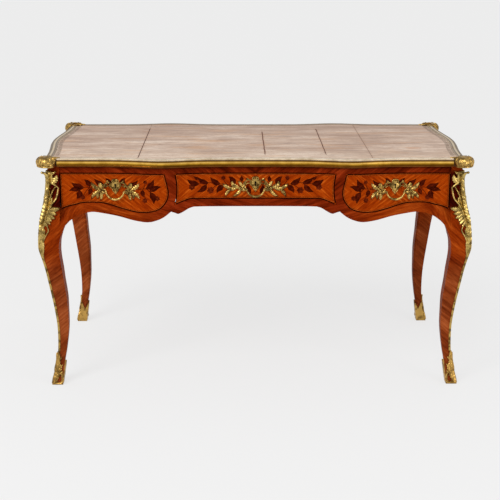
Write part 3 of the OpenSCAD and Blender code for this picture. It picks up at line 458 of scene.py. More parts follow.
class Shader(Tree):
    """A material, with the coordinates of the piece it is on."""

    def __init__(self, name, roughness=0.5, metallic=0.0, specular=0.5, tint=(1, 1, 1)):
        self.material = bpy.data.materials.new(name)
        self.material.use_nodes = True
        super().__init__(self.material.node_tree)
        for key, value in (("Roughness", roughness), ("Metallic", metallic), ("Specular IOR Level", specular),
                           ("Specular Tint", (*tint, 1))):
            self.set(key, value)
        self.place = self.value("ShaderNodeTexCoord", output="Object")
        split = self.nodes.new("ShaderNodeSeparateXYZ")
        self.put(split.inputs[0], self.place)
        self.x, self.y, self.z = (Value(self, socket) for socket in split.outputs)

    def set(self, key, value):
        """Sets an input of the surface."""
        self.put(self.nodes["Principled BSDF"].inputs[key], value)

    def made(self, colour, roughness, height, strength, depth):
        """The material with its colour and roughness, and with its surface raised by height."""
        raised_by = {"Strength": strength, "Distance": depth, "Height": height}
        for key, value in (("Base Color", colour), ("Roughness", roughness),
                           ("Normal", self.value("ShaderNodeBump", raised_by))):
            self.set(key, value)
        return self.material


def rgb(r, g, b):
    """Linear colour from the 0..255 values that a picture shows."""
    shares = (r / 255, g / 255, b / 255)
    return tuple(c / 12.92 if c <= 0.04045 else ((c + 0.055) / 1.055) ** 2.4 for c in shares) + (1.0,)


def darker(colour, share):
    """The colour times a share."""
    return tuple(c * share for c in colour[:3]) + (1,)


WOOD_ROUGH = 0.36
OAK_ROUGH = 0.62
WOOD_GLOSS = 0.014
WOOD_TINT = (1.0, 0.55, 0.28)
WOOD = {"specular": WOOD_GLOSS, "tint": WOOD_TINT}
# Slant of the grain in degrees: on the posts and legs, on the top rail, and on the apron and friezes
POST_GRAIN = -42
RAIL_GRAIN = 35
APRON_GRAIN = 16
# Tones of kingwood, from its dark streaks to its light ones: share, red, green and blue. The posts' tones are
# painted shade; the rail's tones also give the middle its painted shade
POST_SHADE_TONES = [(0.34, 22, 2, 1), (0.45, 42, 4, 1), (0.54, 66, 8, 2), (0.64, 98, 22, 6)]
RAIL_AND_SHADE_TONES = [(0.32, 54, 9, 1), (0.43, 88, 21, 2), (0.53, 116, 34, 7), (0.66, 150, 54, 18)]
LEG_TONES = [(0.34, 84, 28, 8), (0.45, 118, 50, 19), (0.54, 137, 64, 28), (0.64, 160, 84, 44)]
KNEE_TONES = [(0.34, 72, 12, 1), (0.45, 112, 34, 3), (0.54, 140, 52, 8), (0.64, 170, 76, 20)]
# Where one tone of the carcass begins and is full, in metres from the floor or from the desk's middle. The
# rim's shadow, the darker posts and the darker middle are painted shade
RIM_SHADOW_RISE = (FRIEZE_Z - 0.010, FRIEZE_Z - 0.004)
KNEE_RISE = (0.36, 0.48)
POST_SHADE_RISE = (0.598, 0.624)
POST_SHADE_END = (0.728, 0.742)
POST_SHADE_ACROSS = (0.60, 0.635)
MIDDLE_SHADE_RISE = (0.5, 0.56)
MIDDLE_SHADE_ACROSS = (0.42, 0.26)
RAIL_ACROSS = (0.60, 0.52)
RAIL_ALONG = (0.25, 0.17)
# How pores tint the tone under them: share, and a factor for red, green and blue
KINGWOOD_PORES = [(0.32, (0.45, 0.40, 0.38)), (0.50, (1, 1, 1)), (1.0, (1.06, 1.04, 1.0))]
SATINE_PORES = [(0.33, (0.55, 0.50, 0.48)), (0.52, (1, 1, 1)), (1.0, (1.05, 1.03, 1.0))]
OAK_PORES = [(0.35, (0.62, 0.56, 0.50)), (0.5, (1, 1, 1))]
WOOD_CLOUD = [(0.3, (0.80, 0.76, 0.74)), (0.7, (1.12, 1.10, 1.08))]


def grain_place(s, angle, along, across):
    """Coordinates for a veneer's grain on upright faces: round the corners, mirrored at the middle."""
    flat = s.vector(abs(s.x) + abs(s.y), (s.x - s.y) * 0.04, s.z)
    return s.mapped(s.mapped(flat, angle), scale=(along, across, across))


def figure(s, angle):
    """Streaks of kingwood along a slanting grain, and its pores."""
    place = grain_place(s, angle, 7, 74)
    broad = s.noise(place, 0.55, 3, 0.55, 0.35)
    streak = s.noise(place, 2.3, 6, 0.68, 0.25)
    pores = s.noise(grain_place(s, angle, 40, 900), 1.0, 2, 0.5)
    return broad * 0.5 + streak * 0.5, pores


def kingwood(name, angle, tones=None):
    """Kingwood veneer. Without tones of its own it has lighter legs, and painted shade darkens its posts and
    its middle; with tones of its own, a painted shadow darkens it under the rim.
    """
    s = Shader(name, WOOD_ROUGH, **WOOD)
    streak, pores = figure(s, angle)
    if tones:
        # Painted shadow of the rim: the top of the rail is darker just under it
        tone = s.stain(s.tones(streak, tones), s.step(s.z, *RIM_SHADOW_RISE), (26, 3, 1), 0.5)
    else:
        across = abs(s.x)
        cross, cross_pores = figure(s, APRON_GRAIN)
        rail = s.larger(s.step(across, *RAIL_ACROSS), s.step(abs(s.y), *RAIL_ALONG))
        streak = rail * cross + (1.0 - rail) * streak
        pores = rail * cross_pores + (1.0 - rail) * pores
        tone = s.mix(s.step(s.z, *KNEE_RISE), s.tones(streak, LEG_TONES), s.tones(streak, KNEE_TONES))
        # Painted shade: the kingwood in the middle, from about half a metre up, is darker
        middle = s.step(across, *MIDDLE_SHADE_ACROSS) * s.step(s.z, *MIDDLE_SHADE_RISE)
        tone = s.mix(middle, tone, s.tones(streak, RAIL_AND_SHADE_TONES))
        # Painted shade: the posts beside the drawers and behind the knee mounts are darker, less so near the
        # top
        post = s.step(s.z, *POST_SHADE_RISE) * s.step(across, *POST_SHADE_ACROSS) * s.span(s.z, *POST_SHADE_END, 1.0, 0.35)
        tone = s.mix(post, tone, s.tones(streak, POST_SHADE_TONES))
    tone = s.mix(0.55, tone, s.ramp(pores, KINGWOOD_PORES), "MULTIPLY")
    tone = s.mix(1.0, tone, s.ramp(s.noise(s.place, 9, 2, 0.5), WOOD_CLOUD), "MULTIPLY")
    return s.made(tone, s.span(streak, 0.3, 0.7, WOOD_ROUGH - 0.05, WOOD_ROUGH + 0.12), pores, 0.18, 0.0004)


SATINE_TONES = [(0.32, 104, 27, 1), (0.42, 132, 42, 2), (0.53, 155, 57, 4), (0.66, 192, 92, 24)]
SATINE_GRAIN = 38


def satine(name, centre, height):
    """Orange quarter-matched veneer: the grain slants to the middle of the panel from its four corners."""
    s = Shader(name, 0.33, **WOOD)
    turned = s.mapped(s.vector(abs(s.x - centre), s.y * 0.1, abs(s.z - height)), SATINE_GRAIN)
    streak = s.streaks(turned, (16, 190, 190), 5, 0.6, 0.5)
    broad = s.streaks(turned, (5, 22, 22), 2, 0.5, 0.6)
    pores = s.streaks(turned, (60, 1000, 1000), 2)
    tone = s.tones(streak * 0.72 + broad * 0.28, SATINE_TONES)
    tone = s.mix(0.6, tone, s.ramp(pores, SATINE_PORES), "MULTIPLY")
    return s.made(tone, s.span(streak, 0.3, 0.7, 0.27, 0.42), pores, 0.15, 0.0004)


def inlay(name, shades, turn=25):
    """Small pieces of veneer let into a panel, streaked along their own grain and scorched in places."""
    s = Shader(name, 0.34, **WOOD)
    streak = s.streaks(s.mapped(s.place, turn), (70, 300, 420), 4, 0.6, 0.5)
    cloud = s.noise(s.place, 85, 3, 0.6)
    rows = [(at, *shade) for at, shade in zip((0.36, 0.50, 0.64), shades)]
    tone = s.tones(streak * 0.5 + cloud * 0.5, rows)
    return s.made(tone, s.span(streak, 0.3, 0.7, 0.28, 0.42), streak, 0.1, 0.0003)


def plain_oak(name):
    """Unpolished oak of the inner pieces, with the grain along the length."""
    s = Shader(name, OAK_ROUGH, specular=0.3)
    rings = s.streaks(s.place, (55, 4, 55), 4, 0.6, 0.4)
    pores = s.streaks(s.place, (700, 22, 700), 2)
    tone = s.tones(rings, [(0.3, 112, 74, 42), (0.5, 146, 102, 62), (0.7, 170, 126, 82)])
    return s.made(s.mix(0.8, tone, s.ramp(pores, OAK_PORES), "MULTIPLY"), OAK_ROUGH, pores, 0.3, 0.0006)


def gilt(name, light, dark, roughness=0.34, grime=0.55, reach=0.005, chased=0.22):
    """Old gilding: warm dull gold, rubbed bright in places, with dark grime in the hollows and painted shade
    in recesses found by ambient occlusion.
    """
    s = Shader(name, roughness, metallic=1.0)
    blotch = s.noise(s.place, 60, 4, 0.6)
    speck = s.noise(s.place, 420, 3, 0.6)
    worn = s.noise(s.place, 22, 2, 0.5)
    hollow = s.step(s.value("ShaderNodeNewGeometry", output="Pointiness"), 0.502, 0.462)
    # Painted shade: ambient occlusion darkens the recesses with the dark tone
    recess_shade = s.step(s.value("ShaderNodeAmbientOcclusion", {"Distance": reach}, "AO", samples=8), 0.72, 0.18)
    both = s.larger(s.larger(hollow * 0.85, s.step(blotch, 0.54, 0.40) * grime), recess_shade * 0.9)
    base = s.mix(s.step(worn, 0.35, 0.65), rgb(*light), darker(rgb(*light), 0.82))
    rough = s.span(both, 0, 1, roughness, roughness + 0.25)
    return s.made(s.mix(both, base, rgb(*dark)), rough, speck + blotch * 0.6, chased, 0.0008)


def from_edges(s):
    """Distances into the top from the outer edge of the rim: at the front or back, and at the side."""
    across, along = abs(s.x), abs(s.y)
    front = s.bell(across, BULGE_X, BULGE_LEN) * BULGE + (HALF_D - SETBACK + OVERHANG) - along
    side = s.bell(s.y, 0.0, SIDE_LEN) * SIDE_BOW + (HALF_W - SETBACK + OVERHANG) - across
    return front, side


# Tones up the rim's moulding, from the frieze to its flat top, painted by height with highlights on the ovolo
# and the flat and shade in the quirks: share of its height, red, green and blue
RIM_LIGHT_AND_SHADE_TONES = [(0.0, 128, 82, 40), (0.09, 104, 60, 18), (0.20, 100, 60, 12), (0.30, 138, 98, 22),
             (0.39, 182, 136, 42), (0.48, 234, 182, 74), (0.57, 250, 206, 114), (0.65, 170, 124, 50),
             (0.72, 100, 68, 24), (0.80, 86, 58, 18), (0.88, 210, 190, 162), (1.0, 228, 210, 186)]
RIM_BLOTCH = [(0.34, (0.72, 0.68, 0.60)), (0.56, (1, 1, 1)), (0.7, (1.08, 1.08, 1.08))]
RIM_STREAK = [(0.35, (0.7, 0.66, 0.6)), (0.6, (1.1, 1.1, 1.1))]
# Heights at which the rim's flat, the painted shade on its upper side at the back and its joint with the hide
# begin and are full
FLAT_RISE = (DESK_H - 0.0068, DESK_H - 0.0055)
BACK_SHADE_RISE = (DESK_H - 0.0055, DESK_H - 0.004)
JOINT_RISE = (DESK_H - 0.004, DESK_H - 0.002)
DULL_RISE = (DESK_H - 0.0060, DESK_H - 0.0045)
# Width over which the side and the front meet at a corner
MITRE = (-0.002, 0.002)
# Distances in from the edge at the side: the groove in the flat, and the line by the hide
GROOVE_IN = 0.0058
JOINT_IN = RIM_W - 0.0040


def rim_brass():
    """Moulded brass round the top, with painted highlights on the ovolo and the flat and painted shade in the
    quirks.
    """
    s = Shader("rim_brass", 0.32, metallic=1.0)
    tone = s.tones(s.span(s.z, FRIEZE_Z, DESK_H, 0.0, 1.0), RIM_LIGHT_AND_SHADE_TONES)
    blotch = s.noise(s.place, 38, 4, 0.6)
    along = s.streaks(s.place, (9, 9, 160), 3, 0.6)
    scratch = s.streaks(s.place, (20, 20, 900), 2)
    tone = s.mix(1.0, tone, s.ramp(blotch, RIM_BLOTCH), "MULTIPLY")
    tone = s.mix(0.5, tone, s.ramp(along, RIM_STREAK), "MULTIPLY")
    front, side = from_edges(s)
    # Painted highlight on the flat top of the rim, with painted shade as a dark line in its groove
    flat = s.step(s.z, *FLAT_RISE) * s.step(front - side, *MITRE)
    tone = s.stain(tone, flat, (214, 192, 154), 0.85)
    tone = s.stain(tone, flat * s.step(abs(side - GROOVE_IN), 0.0062, 0.0034), (98, 76, 48), 0.9)
    # Painted shade on the rim's upper side at the back
    back = s.step(s.y, 0.31, 0.345) * s.step(side - front, *MITRE)
    tone = s.stain(tone, back * s.step(s.z, *BACK_SHADE_RISE), (112, 90, 70), 0.8)
    joint = s.step(abs(JOINT_IN - side), 0.0044, 0.0018) * s.step(s.z, *JOINT_RISE)
    tone = s.stain(tone, joint, (100, 70, 46), 0.85)
    s.set("Metallic", s.span(s.z, *DULL_RISE, 1.0, 0.25))
    return s.made(tone, s.span(blotch, 0.35, 0.65, 0.42, 0.26), scratch + blotch, 0.12, 0.0004)


HIDE_TONES = [(0.38, 172, 140, 120), (0.46, 196, 168, 148), (0.53, 212, 187, 168), (0.62, 234, 215, 198)]
# Seams of the hide: place, ends, half width, strength and colour
SEAMS = [(-0.384, -0.335, 0.27, 0.0013, 0.95, (74, 40, 24)),
         (0.033, -0.27, 0.19, 0.0016, 0.95, (98, 50, 22)),
         (0.236, -0.27, 0.26, 0.0013, 0.95, (78, 38, 20)),
         (0.384, -0.35, 0.35, 0.0007, 0.75, (104, 78, 62))]
SEAM_SHADE = (176, 128, 98)
SEAM_SHADE_W = 0.009
# An orange spot near the right end: place, then 1 over its half length and half width
SPOT_X, SPOT_Y = 0.545, -0.152
SPOT_LENGTHS, SPOT_WIDTHS = 28, 70


def hide(name):
    """Worn pinkish tan leather: streaks, stained patches, seams, a tooled band and a light line."""
    s = Shader(name, 0.55, specular=0.22)
    streak = s.streaks(s.place, (5, 95, 5), 5, 0.62, 0.5)
    patch = s.streaks(s.place, (4, 12, 4), 4, 0.6, 0.4)
    fine = s.streaks(s.place, (38, 120, 38), 5, 0.7, 0.8)
    scuff = s.streaks(s.place, (20, 72, 20), 6, 0.7, 1.4)
    amber = s.streaks(s.place, (5, 22, 5), 3, 0.6, move=(4.3, 1.7, 0))
    grey = s.streaks(s.place, (7, 30, 7), 4, 0.6, move=(1.9, 6.1, 0))
    spot_x, spot_y = (s.x - SPOT_X) * SPOT_LENGTHS, (s.y - SPOT_Y) * SPOT_WIDTHS
    front, side = (d - RIM_W for d in from_edges(s))
    tone = s.tones(streak * 0.45 + patch * 0.55, HIDE_TONES)
    for value, low, high, shade, strength in (
            (amber, 0.52, 0.66, (212, 164, 122), 0.50), (grey, 0.54, 0.66, (158, 134, 122), 0.50),
            (s.y, -0.05, 0.33, (176, 148, 132), 0.35), (s.y, -0.12, -0.34, (226, 204, 180), 0.35),
            (fine, 0.54, 0.40, (160, 124, 106), 0.34), (scuff, 0.60, 0.68, (120, 84, 62), 0.55),
            (spot_x * spot_x + spot_y * spot_y, 1.0, 0.2, (206, 140, 90), 0.5)):
        tone = s.stain(tone, s.step(value, low, high), shade, strength)
    tool = s.streaks(s.place, (160, 160, 160), 3, 0.7)
    band = s.step(side, 0.0195, 0.0165) * s.span(tool, 0.42, 0.58, 0.25, 0.95) * s.step(s.y, -0.335, -0.27)
    tone = s.stain(tone, band, (136, 114, 96))
    tone = s.stain(tone, s.step(side, 0.0012, 0.0004), (96, 74, 56), 0.8)
    light = s.math("MINIMUM", abs(side - 0.0036), abs(front - 0.0055))
    tone = s.stain(tone, s.step(light, 0.0017, 0.0008), (236, 216, 194), 0.28)
    # Painted shadow of the rim: the hide is darker along its front and back edges
    tone = s.stain(tone, s.step(front, 0.0016, 0.0006), (112, 86, 66), 0.6)
    wobble = (s.noise(s.place, 14, 3, 0.6) - 0.5) * 0.004
    for x, low, high, half, strength, shade in SEAMS:
        away = abs(s.x - x + (wobble if abs(x) < SEAM_X else 0.0))
        reach = s.step(s.y, low - 0.03, low + 0.03) * s.step(s.y, high + 0.006, high - 0.006)
        tone = s.stain(tone, s.step(away, SEAM_SHADE_W, 0.0) * reach, SEAM_SHADE, 0.30 * strength)
        tone = s.stain(tone, s.step(away, half * 1.5, half * 0.7) * reach, shade, strength)
    return s.made(tone, s.span(patch, 0.3, 0.7, 0.46, 0.64), fine * 0.6 + scuff, 0.35, 0.0006)


def plain_metal(name, shade, roughness):
    """Plain metal, brushed and a little uneven."""
    s = Shader(name, roughness, metallic=1.0)
    brushed = s.streaks(s.place, (60, 60, 900), 3, 0.6)
    tone = s.mix(s.step(brushed, 0.35, 0.65), rgb(*shade), darker(rgb(*shade), 0.7))
    return s.made(tone, s.span(brushed, 0.3, 0.7, roughness - 0.06, roughness + 0.12), brushed, 0.1, 0.0003)


M_RAIL = kingwood("kingwood_rail", RAIL_GRAIN, RAIL_AND_SHADE_TONES)
M_CARCASS = kingwood("kingwood", POST_GRAIN)
M_OAK = plain_oak("oak")
M_GILT = gilt("gilt_bronze", (200, 164, 90), (44, 18, 3), 0.28, 0.75, 0.006, 0.35)
M_KNEE = gilt("gilt_bronze_knee", (208, 178, 104), (62, 38, 8), 0.27, 0.6, 0.0035, 0.45)
M_SHOE = gilt("gilt_bronze_shoe", (200, 158, 84), (56, 32, 12))
M_CLASP = gilt("gilt_bronze_clasp", (204, 166, 92), (62, 38, 8), 0.28, 0.6, 0.003, 0.4)
# Painted shade: the keyhole's opening is a dark metal slab
M_KEYHOLE_SHADE = plain_metal("keyhole_shade", (18, 12, 8), 0.8)
M_RIM = rim_brass()
M_HIDE = hide("leather")
M_LEAF = inlay("marquetry_leaf", [(38, 4, 1), (58, 10, 2), (84, 22, 6)])
M_FLOWER = inlay("marquetry_flower", [(54, 8, 2), (82, 20, 5), (116, 42, 15)], 70)
M_VEIN = inlay("marquetry_vein", [(70, 20, 5), (88, 32, 9), (110, 46, 16)])
M_LINE = inlay("stringing", [(16, 2, 1), (30, 5, 2), (46, 12, 5)], 0)
M_BAND = inlay("cross_band", [(138, 52, 8), (168, 72, 18), (192, 98, 36)], 0)
M_STEEL = plain_metal("steel", (128, 126, 122), 0.38)

# Material of each CAD piece: the first of these patterns that its name begins with
WEAR = [("leg_fillets|back_bail", M_GILT),
        ("leg_|knee_blocks|front_apron|back_frieze|side_frieze", M_CARCASS),
        ("front_top_rail|front_dividers", M_RAIL), ("rim_", M_RIM), ("leather_", M_HIDE),
        ("sabot_", M_SHOE), (".*lock", M_STEEL), (".*_(plates?|posts|bail|mounts|clasps)$", M_GILT),
        ("", M_OAK)]


def wear(node, material):
    """Gives a CAD piece its material."""
    for slot in NODES[node].material_slots:
        slot.material = material


for name in NODES:
    wear(name, next(material for rule, material in WEAR if re.match(rule, name)))
# Middle of each quarter-matched panel
wear("left_drawer_front", satine("satine_left", -0.462, 0.672))
wear("centre_drawer_front", satine("satine_centre", 0.0, 0.686))
wear("right_drawer_front", satine("satine_right", 0.462, 0.672))


# Leaves round a pommel: base, angle, length, width and bend
SIDE_SPRAYS = [(50, -15, 28, 40, 15, 0.25), (48, -12, 98, 24, 12, -0.35), (52, -16, -32, 40, 14, -0.25),
               (49, -18, -104, 31, 13, 0.3), (46, -12, 60, 24, 11, 0.3), (54, -18, -66, 28, 11, -0.3)]
CENTRE_SPRAYS = [(50, -18, 22, 38, 15, 0.2), (46, -14, 78, 24, 12, -0.3), (47, -19, -58, 38, 13, 0.3),
                 (62, -18, -8, 32, 14, 0.2), (78, -18, 14, 34, 13, 0.3), (80, -20, -36, 32, 13, -0.3),
                 (72, -14, 68, 22, 11, 0.3), (44, -18, 116, 18, 10, 0.3)]
# Handles from the left: name, name of the one behind it, place and leaves
HANDLES = [("left", "right", -HANDLE_X, OUTER_HANDLE_Z, SIDE_SPRAYS),
           ("centre", "centre", 0.0, CENTRE_HANDLE_Z, CENTRE_SPRAYS),
           ("right", "left", HANDLE_X, OUTER_HANDLE_Z, SIDE_SPRAYS)]
# Right half of the cartouche's outline
SHIELD = [(0, 21), (5, 19.5), (8, 15), (7, 11), (9.5, 8), (13, 5), (14.5, 0), (12, -5), (8, -9),
          (6.5, -14), (3, -19), (0, -22)]
# Right half of a handle's scrolls: path, widths and rises in millimetres, and form
HANDLE_SCROLLS = [
    ([(1, 19), (6, 20.5), (10.5, 16), (9, 11), (6, 12.5), (7.5, 15)], [1.4, 2.1, 2.3, 2.0, 1.6, 0.9],
     [5.4, 5.8, 5.6, 5.2, 5.0, 4.6], "round"),
    ([(9, 10), (14.5, 7), (17, 1), (14, -6), (9, -9.5), (6.2, -7), (8.4, -4.6)],
     [1.2, 2.0, 2.5, 2.4, 2.1, 1.6, 0.9], [4.8, 5.6, 6.0, 6.0, 5.6, 5.2, 4.6], "fluted"),
    ([(8, -10), (8.5, -15), (5, -20), (0.6, -25)], [1.8, 2.4, 2.0, 0.5], [4.6, 4.8, 4.4, 2.4], "round"),
    ([(12, 5), (19, 10.5), (28, 9), (36, 2), (41, -6), (46, -13)], [1.2, 2.4, 2.9, 3.0, 2.8, 2.4],
     [4.4, 5.4, 5.8, 5.6, 5.2, 4.8], "fluted"),
    ([(15, -2), (21, 0.5), (28, -2.5), (33, -8)], [0.9, 1.6, 1.7, 0.8], [3.6, 4.2, 4.4, 3.6], "round"),
    ([(55, -16), (64, -8), (74, -7), (83, -12)], [0.6, 0.7, 0.6, 0.4], [3.0, 4.2, 4.4, 3.0], "round")]
# Leaves on the branch: base, angle, length and bend
BRANCH_LEAVES = [((22, 9), 62, 11, -0.5), ((30, 4), -84, 12, 0.4)]
# Berries: place and radius
BERRIES = [(50, -15.5, 3.0), (53.5, -19, 2.6), (49, -20.5, 2.5), (54, -13, 2.3), (57.5, -16, 2.4)]
BERRY_RISE = 5.2


def flipped(points):
    return [(-u, v) for u, v in points]


def bail_out(centre):
    """How far in front of the desk's middle a bail's pins lie."""
    return face_y(abs(centre) - POMMEL_X) + BAIL_STAND


def build_handle(name, centre, height, sprays, body, node, back=False):
    """Handle plate: a cartouche with the keyhole, two branches, leaves and berries round the pommels."""
    cast = Cast()
    place = on_front(centre, height, back)
    cast.dome(place, spline(SHIELD + flipped(SHIELD)[-2:0:-1] + [SHIELD[0]], 2)[:-1], 3.6, rings=7)
    pommel_u, pommel_v = POMMEL_X * 1000, -POST_DROP * 1000
    for s in (-1, 1):
        side = mirrored(place, s)
        for path, widths, rises, form in HANDLE_SCROLLS:
            cast.ribbon(side, path, widths, rises, form=form)
        for base, angle, length, bend in BRANCH_LEAVES:
            cast.leaf(side, base, angle, length, 7, 2.6, bend, 3)
        for k, (u, v, angle, length, width, bend) in enumerate(sprays):
            layer = k % 3
            cast.leaf(side, (u, v), angle, length, width, 3.0 + 0.5 * layer, bend, lift=1.2 + 0.35 * layer,
                      curl=0.55)
        for u, v, r in BERRIES:
            cast.bead(side(u, v, BERRY_RISE), r / 1000)
        for u, v in oval(pommel_u, pommel_v, 3.6, 3.6, 8):
            angle = math.degrees(math.atan2(v - pommel_v, u - pommel_u))
            cast.leaf(side, (u, v), angle, 6.4, 5.2, 1.5, 0, 1, lift=2.2, curl=0.4)
        x, _, z = side(pommel_u, pommel_v, 0)
        facing = 1 if back else -1
        cast.bead((x, facing * (bail_out(centre) + 0.0052), z), 0.0024, (1, 0.7, 1))
        cast.bead((x, facing * (bail_out(centre) + 0.0022), z), 0.0053, (1, 0.72, 1), 10, 48, 0.09, 8)
    for angle in range(30, 180, 30):
        cast.leaf(place, (0, 15), angle, 9.5, 4.6, 2.4, 0, 2, lift=2.4, curl=0.4)
    cast.leaf(place, (0, -15), -90, 15, 9, 2.8, 0, 4, lift=1.6)
    piece = cast.done(name, M_GILT, body, "gilt_bronze")
    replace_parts(piece, node)


KEY_R = 3.2
# Half the angle, in radians, over which the keyhole's head opens into its slot
KEY_GAP = 0.45


def build_keyhole(name, centre, height, body, back=False):
    """Keyhole: a round head over a flared slot, let into the cartouche as a dark slab of painted shade."""
    cast = Cast()
    turns = np.linspace(KEY_GAP, 2 * math.pi - KEY_GAP, 18)
    head = [(KEY_R * math.sin(a), KEY_R - KEY_R * math.cos(a)) for a in turns]
    cast.slab(on_front(centre, height, back), head + [(-2.2, -8.5), (2.2, -8.5)], 2.0, 4.6)
    cast.done(name, M_KEYHOLE_SHADE, body, "gilt_bronze")


# A bail, in metres: half its width, its drop, its radius at the ends and how much it swells to the middle
BAIL_HALF, BAIL_DROP, BAIL_R, BAIL_SWELL = 0.029, 0.0245, 0.0023, 0.0015
# Radius of its pins, and how far into the pommel they reach
PIN_R, PIN_REACH = 0.00165, 0.0099
# Its knop and rings: share of the way from the middle to the end, half length as a share, and height
BAIL_RINGS = [(0.0, 0.045, 0.0013), (0.13, 0.022, 0.0009), (0.20, 0.018, 0.0006), (0.52, 0.03, 0.0010),
              (0.60, 0.02, 0.0007), (0.90, 0.03, 0.0012)]


def build_bail(name, centre, height, body, node, back=False):
    """Bail: a bar that swells to a knop with rings at its middle, and turned ends in the pommels."""
    cast = Cast()
    out = bail_out(centre)
    r = (BAIL_HALF ** 2 + BAIL_DROP ** 2) / (2 * BAIL_DROP)
    turn = math.asin(BAIL_HALF / r)

    def at(share):
        x = centre + r * math.sin(share * turn)
        z = height - POST_DROP + r - BAIL_DROP - r * math.cos(share * turn)
        return (-x, out, z) if back else (x, -out, z)
    shares = np.linspace(-1, 1, 97)
    radii = [BAIL_R + BAIL_SWELL * (1 - a) ** 0.8
             + sum(high * math.exp(-((a - middle) / half) ** 2) for middle, half, high in BAIL_RINGS)
             for a in np.abs(shares)]
    cast.tube([at(share) for share in shares], radii, 18)
    for s in (-1, 1):
        x, y, z = at(s)
        sign = -s if back else s
        cast.bead((x, y, z), 0.00352, rings=12, sides=22)
        cast.tube([(x + sign * d, y, z) for d in (0, 0.003, PIN_REACH)], [PIN_R], 20)
    cast.done(name, M_GILT, body, "gilt_bronze", (node,))


# A knee mount on one face of the leg: path out from the post's face and up, widths, rises and form
MOUNT_STRANDS = [
    ([(-3.5, 734), (-3.8, 712), (-3.2, 692), (-2, 672), (-1, 652), (2, 636)], [4.6, 5.4, 5.4, 4.6, 4.8, 3.4],
     [6.8, 7.6, 7.8, 7.6, 7.2, 6.0], "leaf"),
    ([(-8, 734), (-8.5, 716), (-10, 698)], [9.0, 9.5, 7.5], [5.0, 5.2, 4.8], "fluted"),
    ([(-12, 732), (-12.5, 716), (-12, 704), (-14, 696)], [2.8, 3.6, 3.6, 2.4], [6.0, 7.0, 7.2, 6.4], "round"),
    ([(-10, 700), (-18, 695), (-26, 689), (-34.5, 681)], [2.4, 3.8, 4.2, 1.2], [6.5, 8.4, 8.6, 6.0], "round"),
    ([(-33, 685), (-31, 672), (-28.5, 660), (-24.5, 648), (-17.5, 638), (-9, 629), (-3, 619), (2, 609),
      (6, 598), (9.5, 585), (12, 570)], [2.6, 3.8, 4.0, 3.8, 3.6, 3.2, 2.8, 2.7, 2.6, 2.3, 1.2],
     [7.0, 8.2, 8.6, 9.0, 9.4, 9.6, 9.4, 9.0, 8.4, 7.4, 5.8], "round"),
    ([(-4, 648), (-8, 659), (-11.5, 669), (-17, 677), (-26, 687)], [2.2, 2.2, 2.1, 2.1, 1.4],
     [5.2, 5.4, 5.6, 5.8, 5.6], "round"),
    ([(-1, 650), (0, 632), (6, 611), (12, 590), (16, 570), (20, 552)], [12, 13, 12, 10, 8, 4.5],
     [5.0, 5.8, 5.8, 5.6, 5.2, 4.4], "fluted"),
    ([(10.5, 566), (3.0, 554), (1.5, 543.5), (6.5, 534), (13, 523), (18, 508)],
     [2.2, 2.7, 2.8, 3.0, 2.8, 1.8], [5.4, 6.2, 6.6, 6.8, 6.2, 5.0], "round")]
# Round the arris: path by distance from it and height, widths and rises
MOUNT_EDGE = [
    ([(2.6, 728), (2.8, 712), (3.0, 690), (3.2, 668), (3.8, 648), (4.6, 628), (6, 606), (7, 582), (6.5, 560)],
     [3.6, 3.8, 3.8, 3.9, 4.3, 4.8, 5.4, 5.6, 5.0], [9.0, 8.8, 9.2, 9.6, 10.2, 9.0, 8.0, 7.0, 6.0]),
    ([(6, 568), (5.7, 555), (8, 543), (8.2, 531), (7, 519), (6.5, 509), (7.8, 498), (7.8, 484), (5, 470),
      (3.6, 458), (2.4, 438)], [6.4, 6.0, 8.6, 8.6, 7.4, 6.8, 8.0, 7.8, 4.9, 3.4, 1.8],
     [5.4, 5.2, 5.6, 5.6, 5.2, 4.8, 4.8, 4.6, 3.9, 3.2, 2.4])]
# Leaves: base, tip, width, rise, bend and lobes
MOUNT_LEAVES = [((-12, 694), (-28, 726), 17, 6.2, -0.3, 5), ((-7, 722), (-29, 738), 9, 6.4, 0.1, 3),
                ((-3, 724), (-10, 739), 8, 7.2, 0.1, 2), ((3, 724), (4, 739), 8, 7.6, 0, 2),
                ((-10, 712), (-23, 708), 11, 6.4, 0.3, 3), ((-16, 700), (-29, 703), 9, 6.0, 0.3, 3),
                ((0, 612), (-38, 617), 17, 7.6, -0.12, 7), ((2, 606), (-27, 598), 16, 7.2, -0.1, 6),
                ((5, 598), (-22, 584), 15, 7.0, -0.1, 6), ((8, 590), (-10, 574), 14, 6.6, 0.1, 5),
                ((11, 582), (-6, 563), 12, 6.2, 0.1, 5), ((14, 572), (2, 553), 10, 5.6, 0.1, 4),
                ((-8, 646), (7, 624), 9, 8.4, 0.3, 3), ((-4, 634), (11, 612), 9, 8.6, 0.3, 3),
                ((1, 622), (15, 600), 8.5, 8.4, 0.3, 3), ((5, 610), (18, 588), 8.5, 8.0, 0.3, 3),
                ((9, 597), (21, 574), 8, 7.4, 0.3, 3), ((12, 584), (23, 560), 8, 6.8, 0.3, 3),
                ((-3, 664), (7, 642), 9, 8.4, 0.2, 3), ((13, 550), (24, 524), 9, 6.0, 0.2, 4),
                ((15, 534), (21, 506), 10, 5.6, 0.1, 4), ((20, 514), (19, 478), 11, 5.2, -0.1, 5)]
# Beads down the arris: height, half width, half height and rise
MOUNT_BEADS = [(704, 4.0, 10, 10.6), (676, 4.2, 12, 11.0), (652, 5.4, 7, 12.6), (640, 4.6, 6, 11.0)]
# Neck of the volute: out from the post's corner, and height
VOLUTE = [(2.0, 716), (3.5, 724), (7.0, 730), (11.5, 733.5), (15.5, 735)]
VOLUTE_NECK = [0.0062, 0.0058, 0.0046, 0.0036, 0.0032]
VOLUTE_R = 0.0042


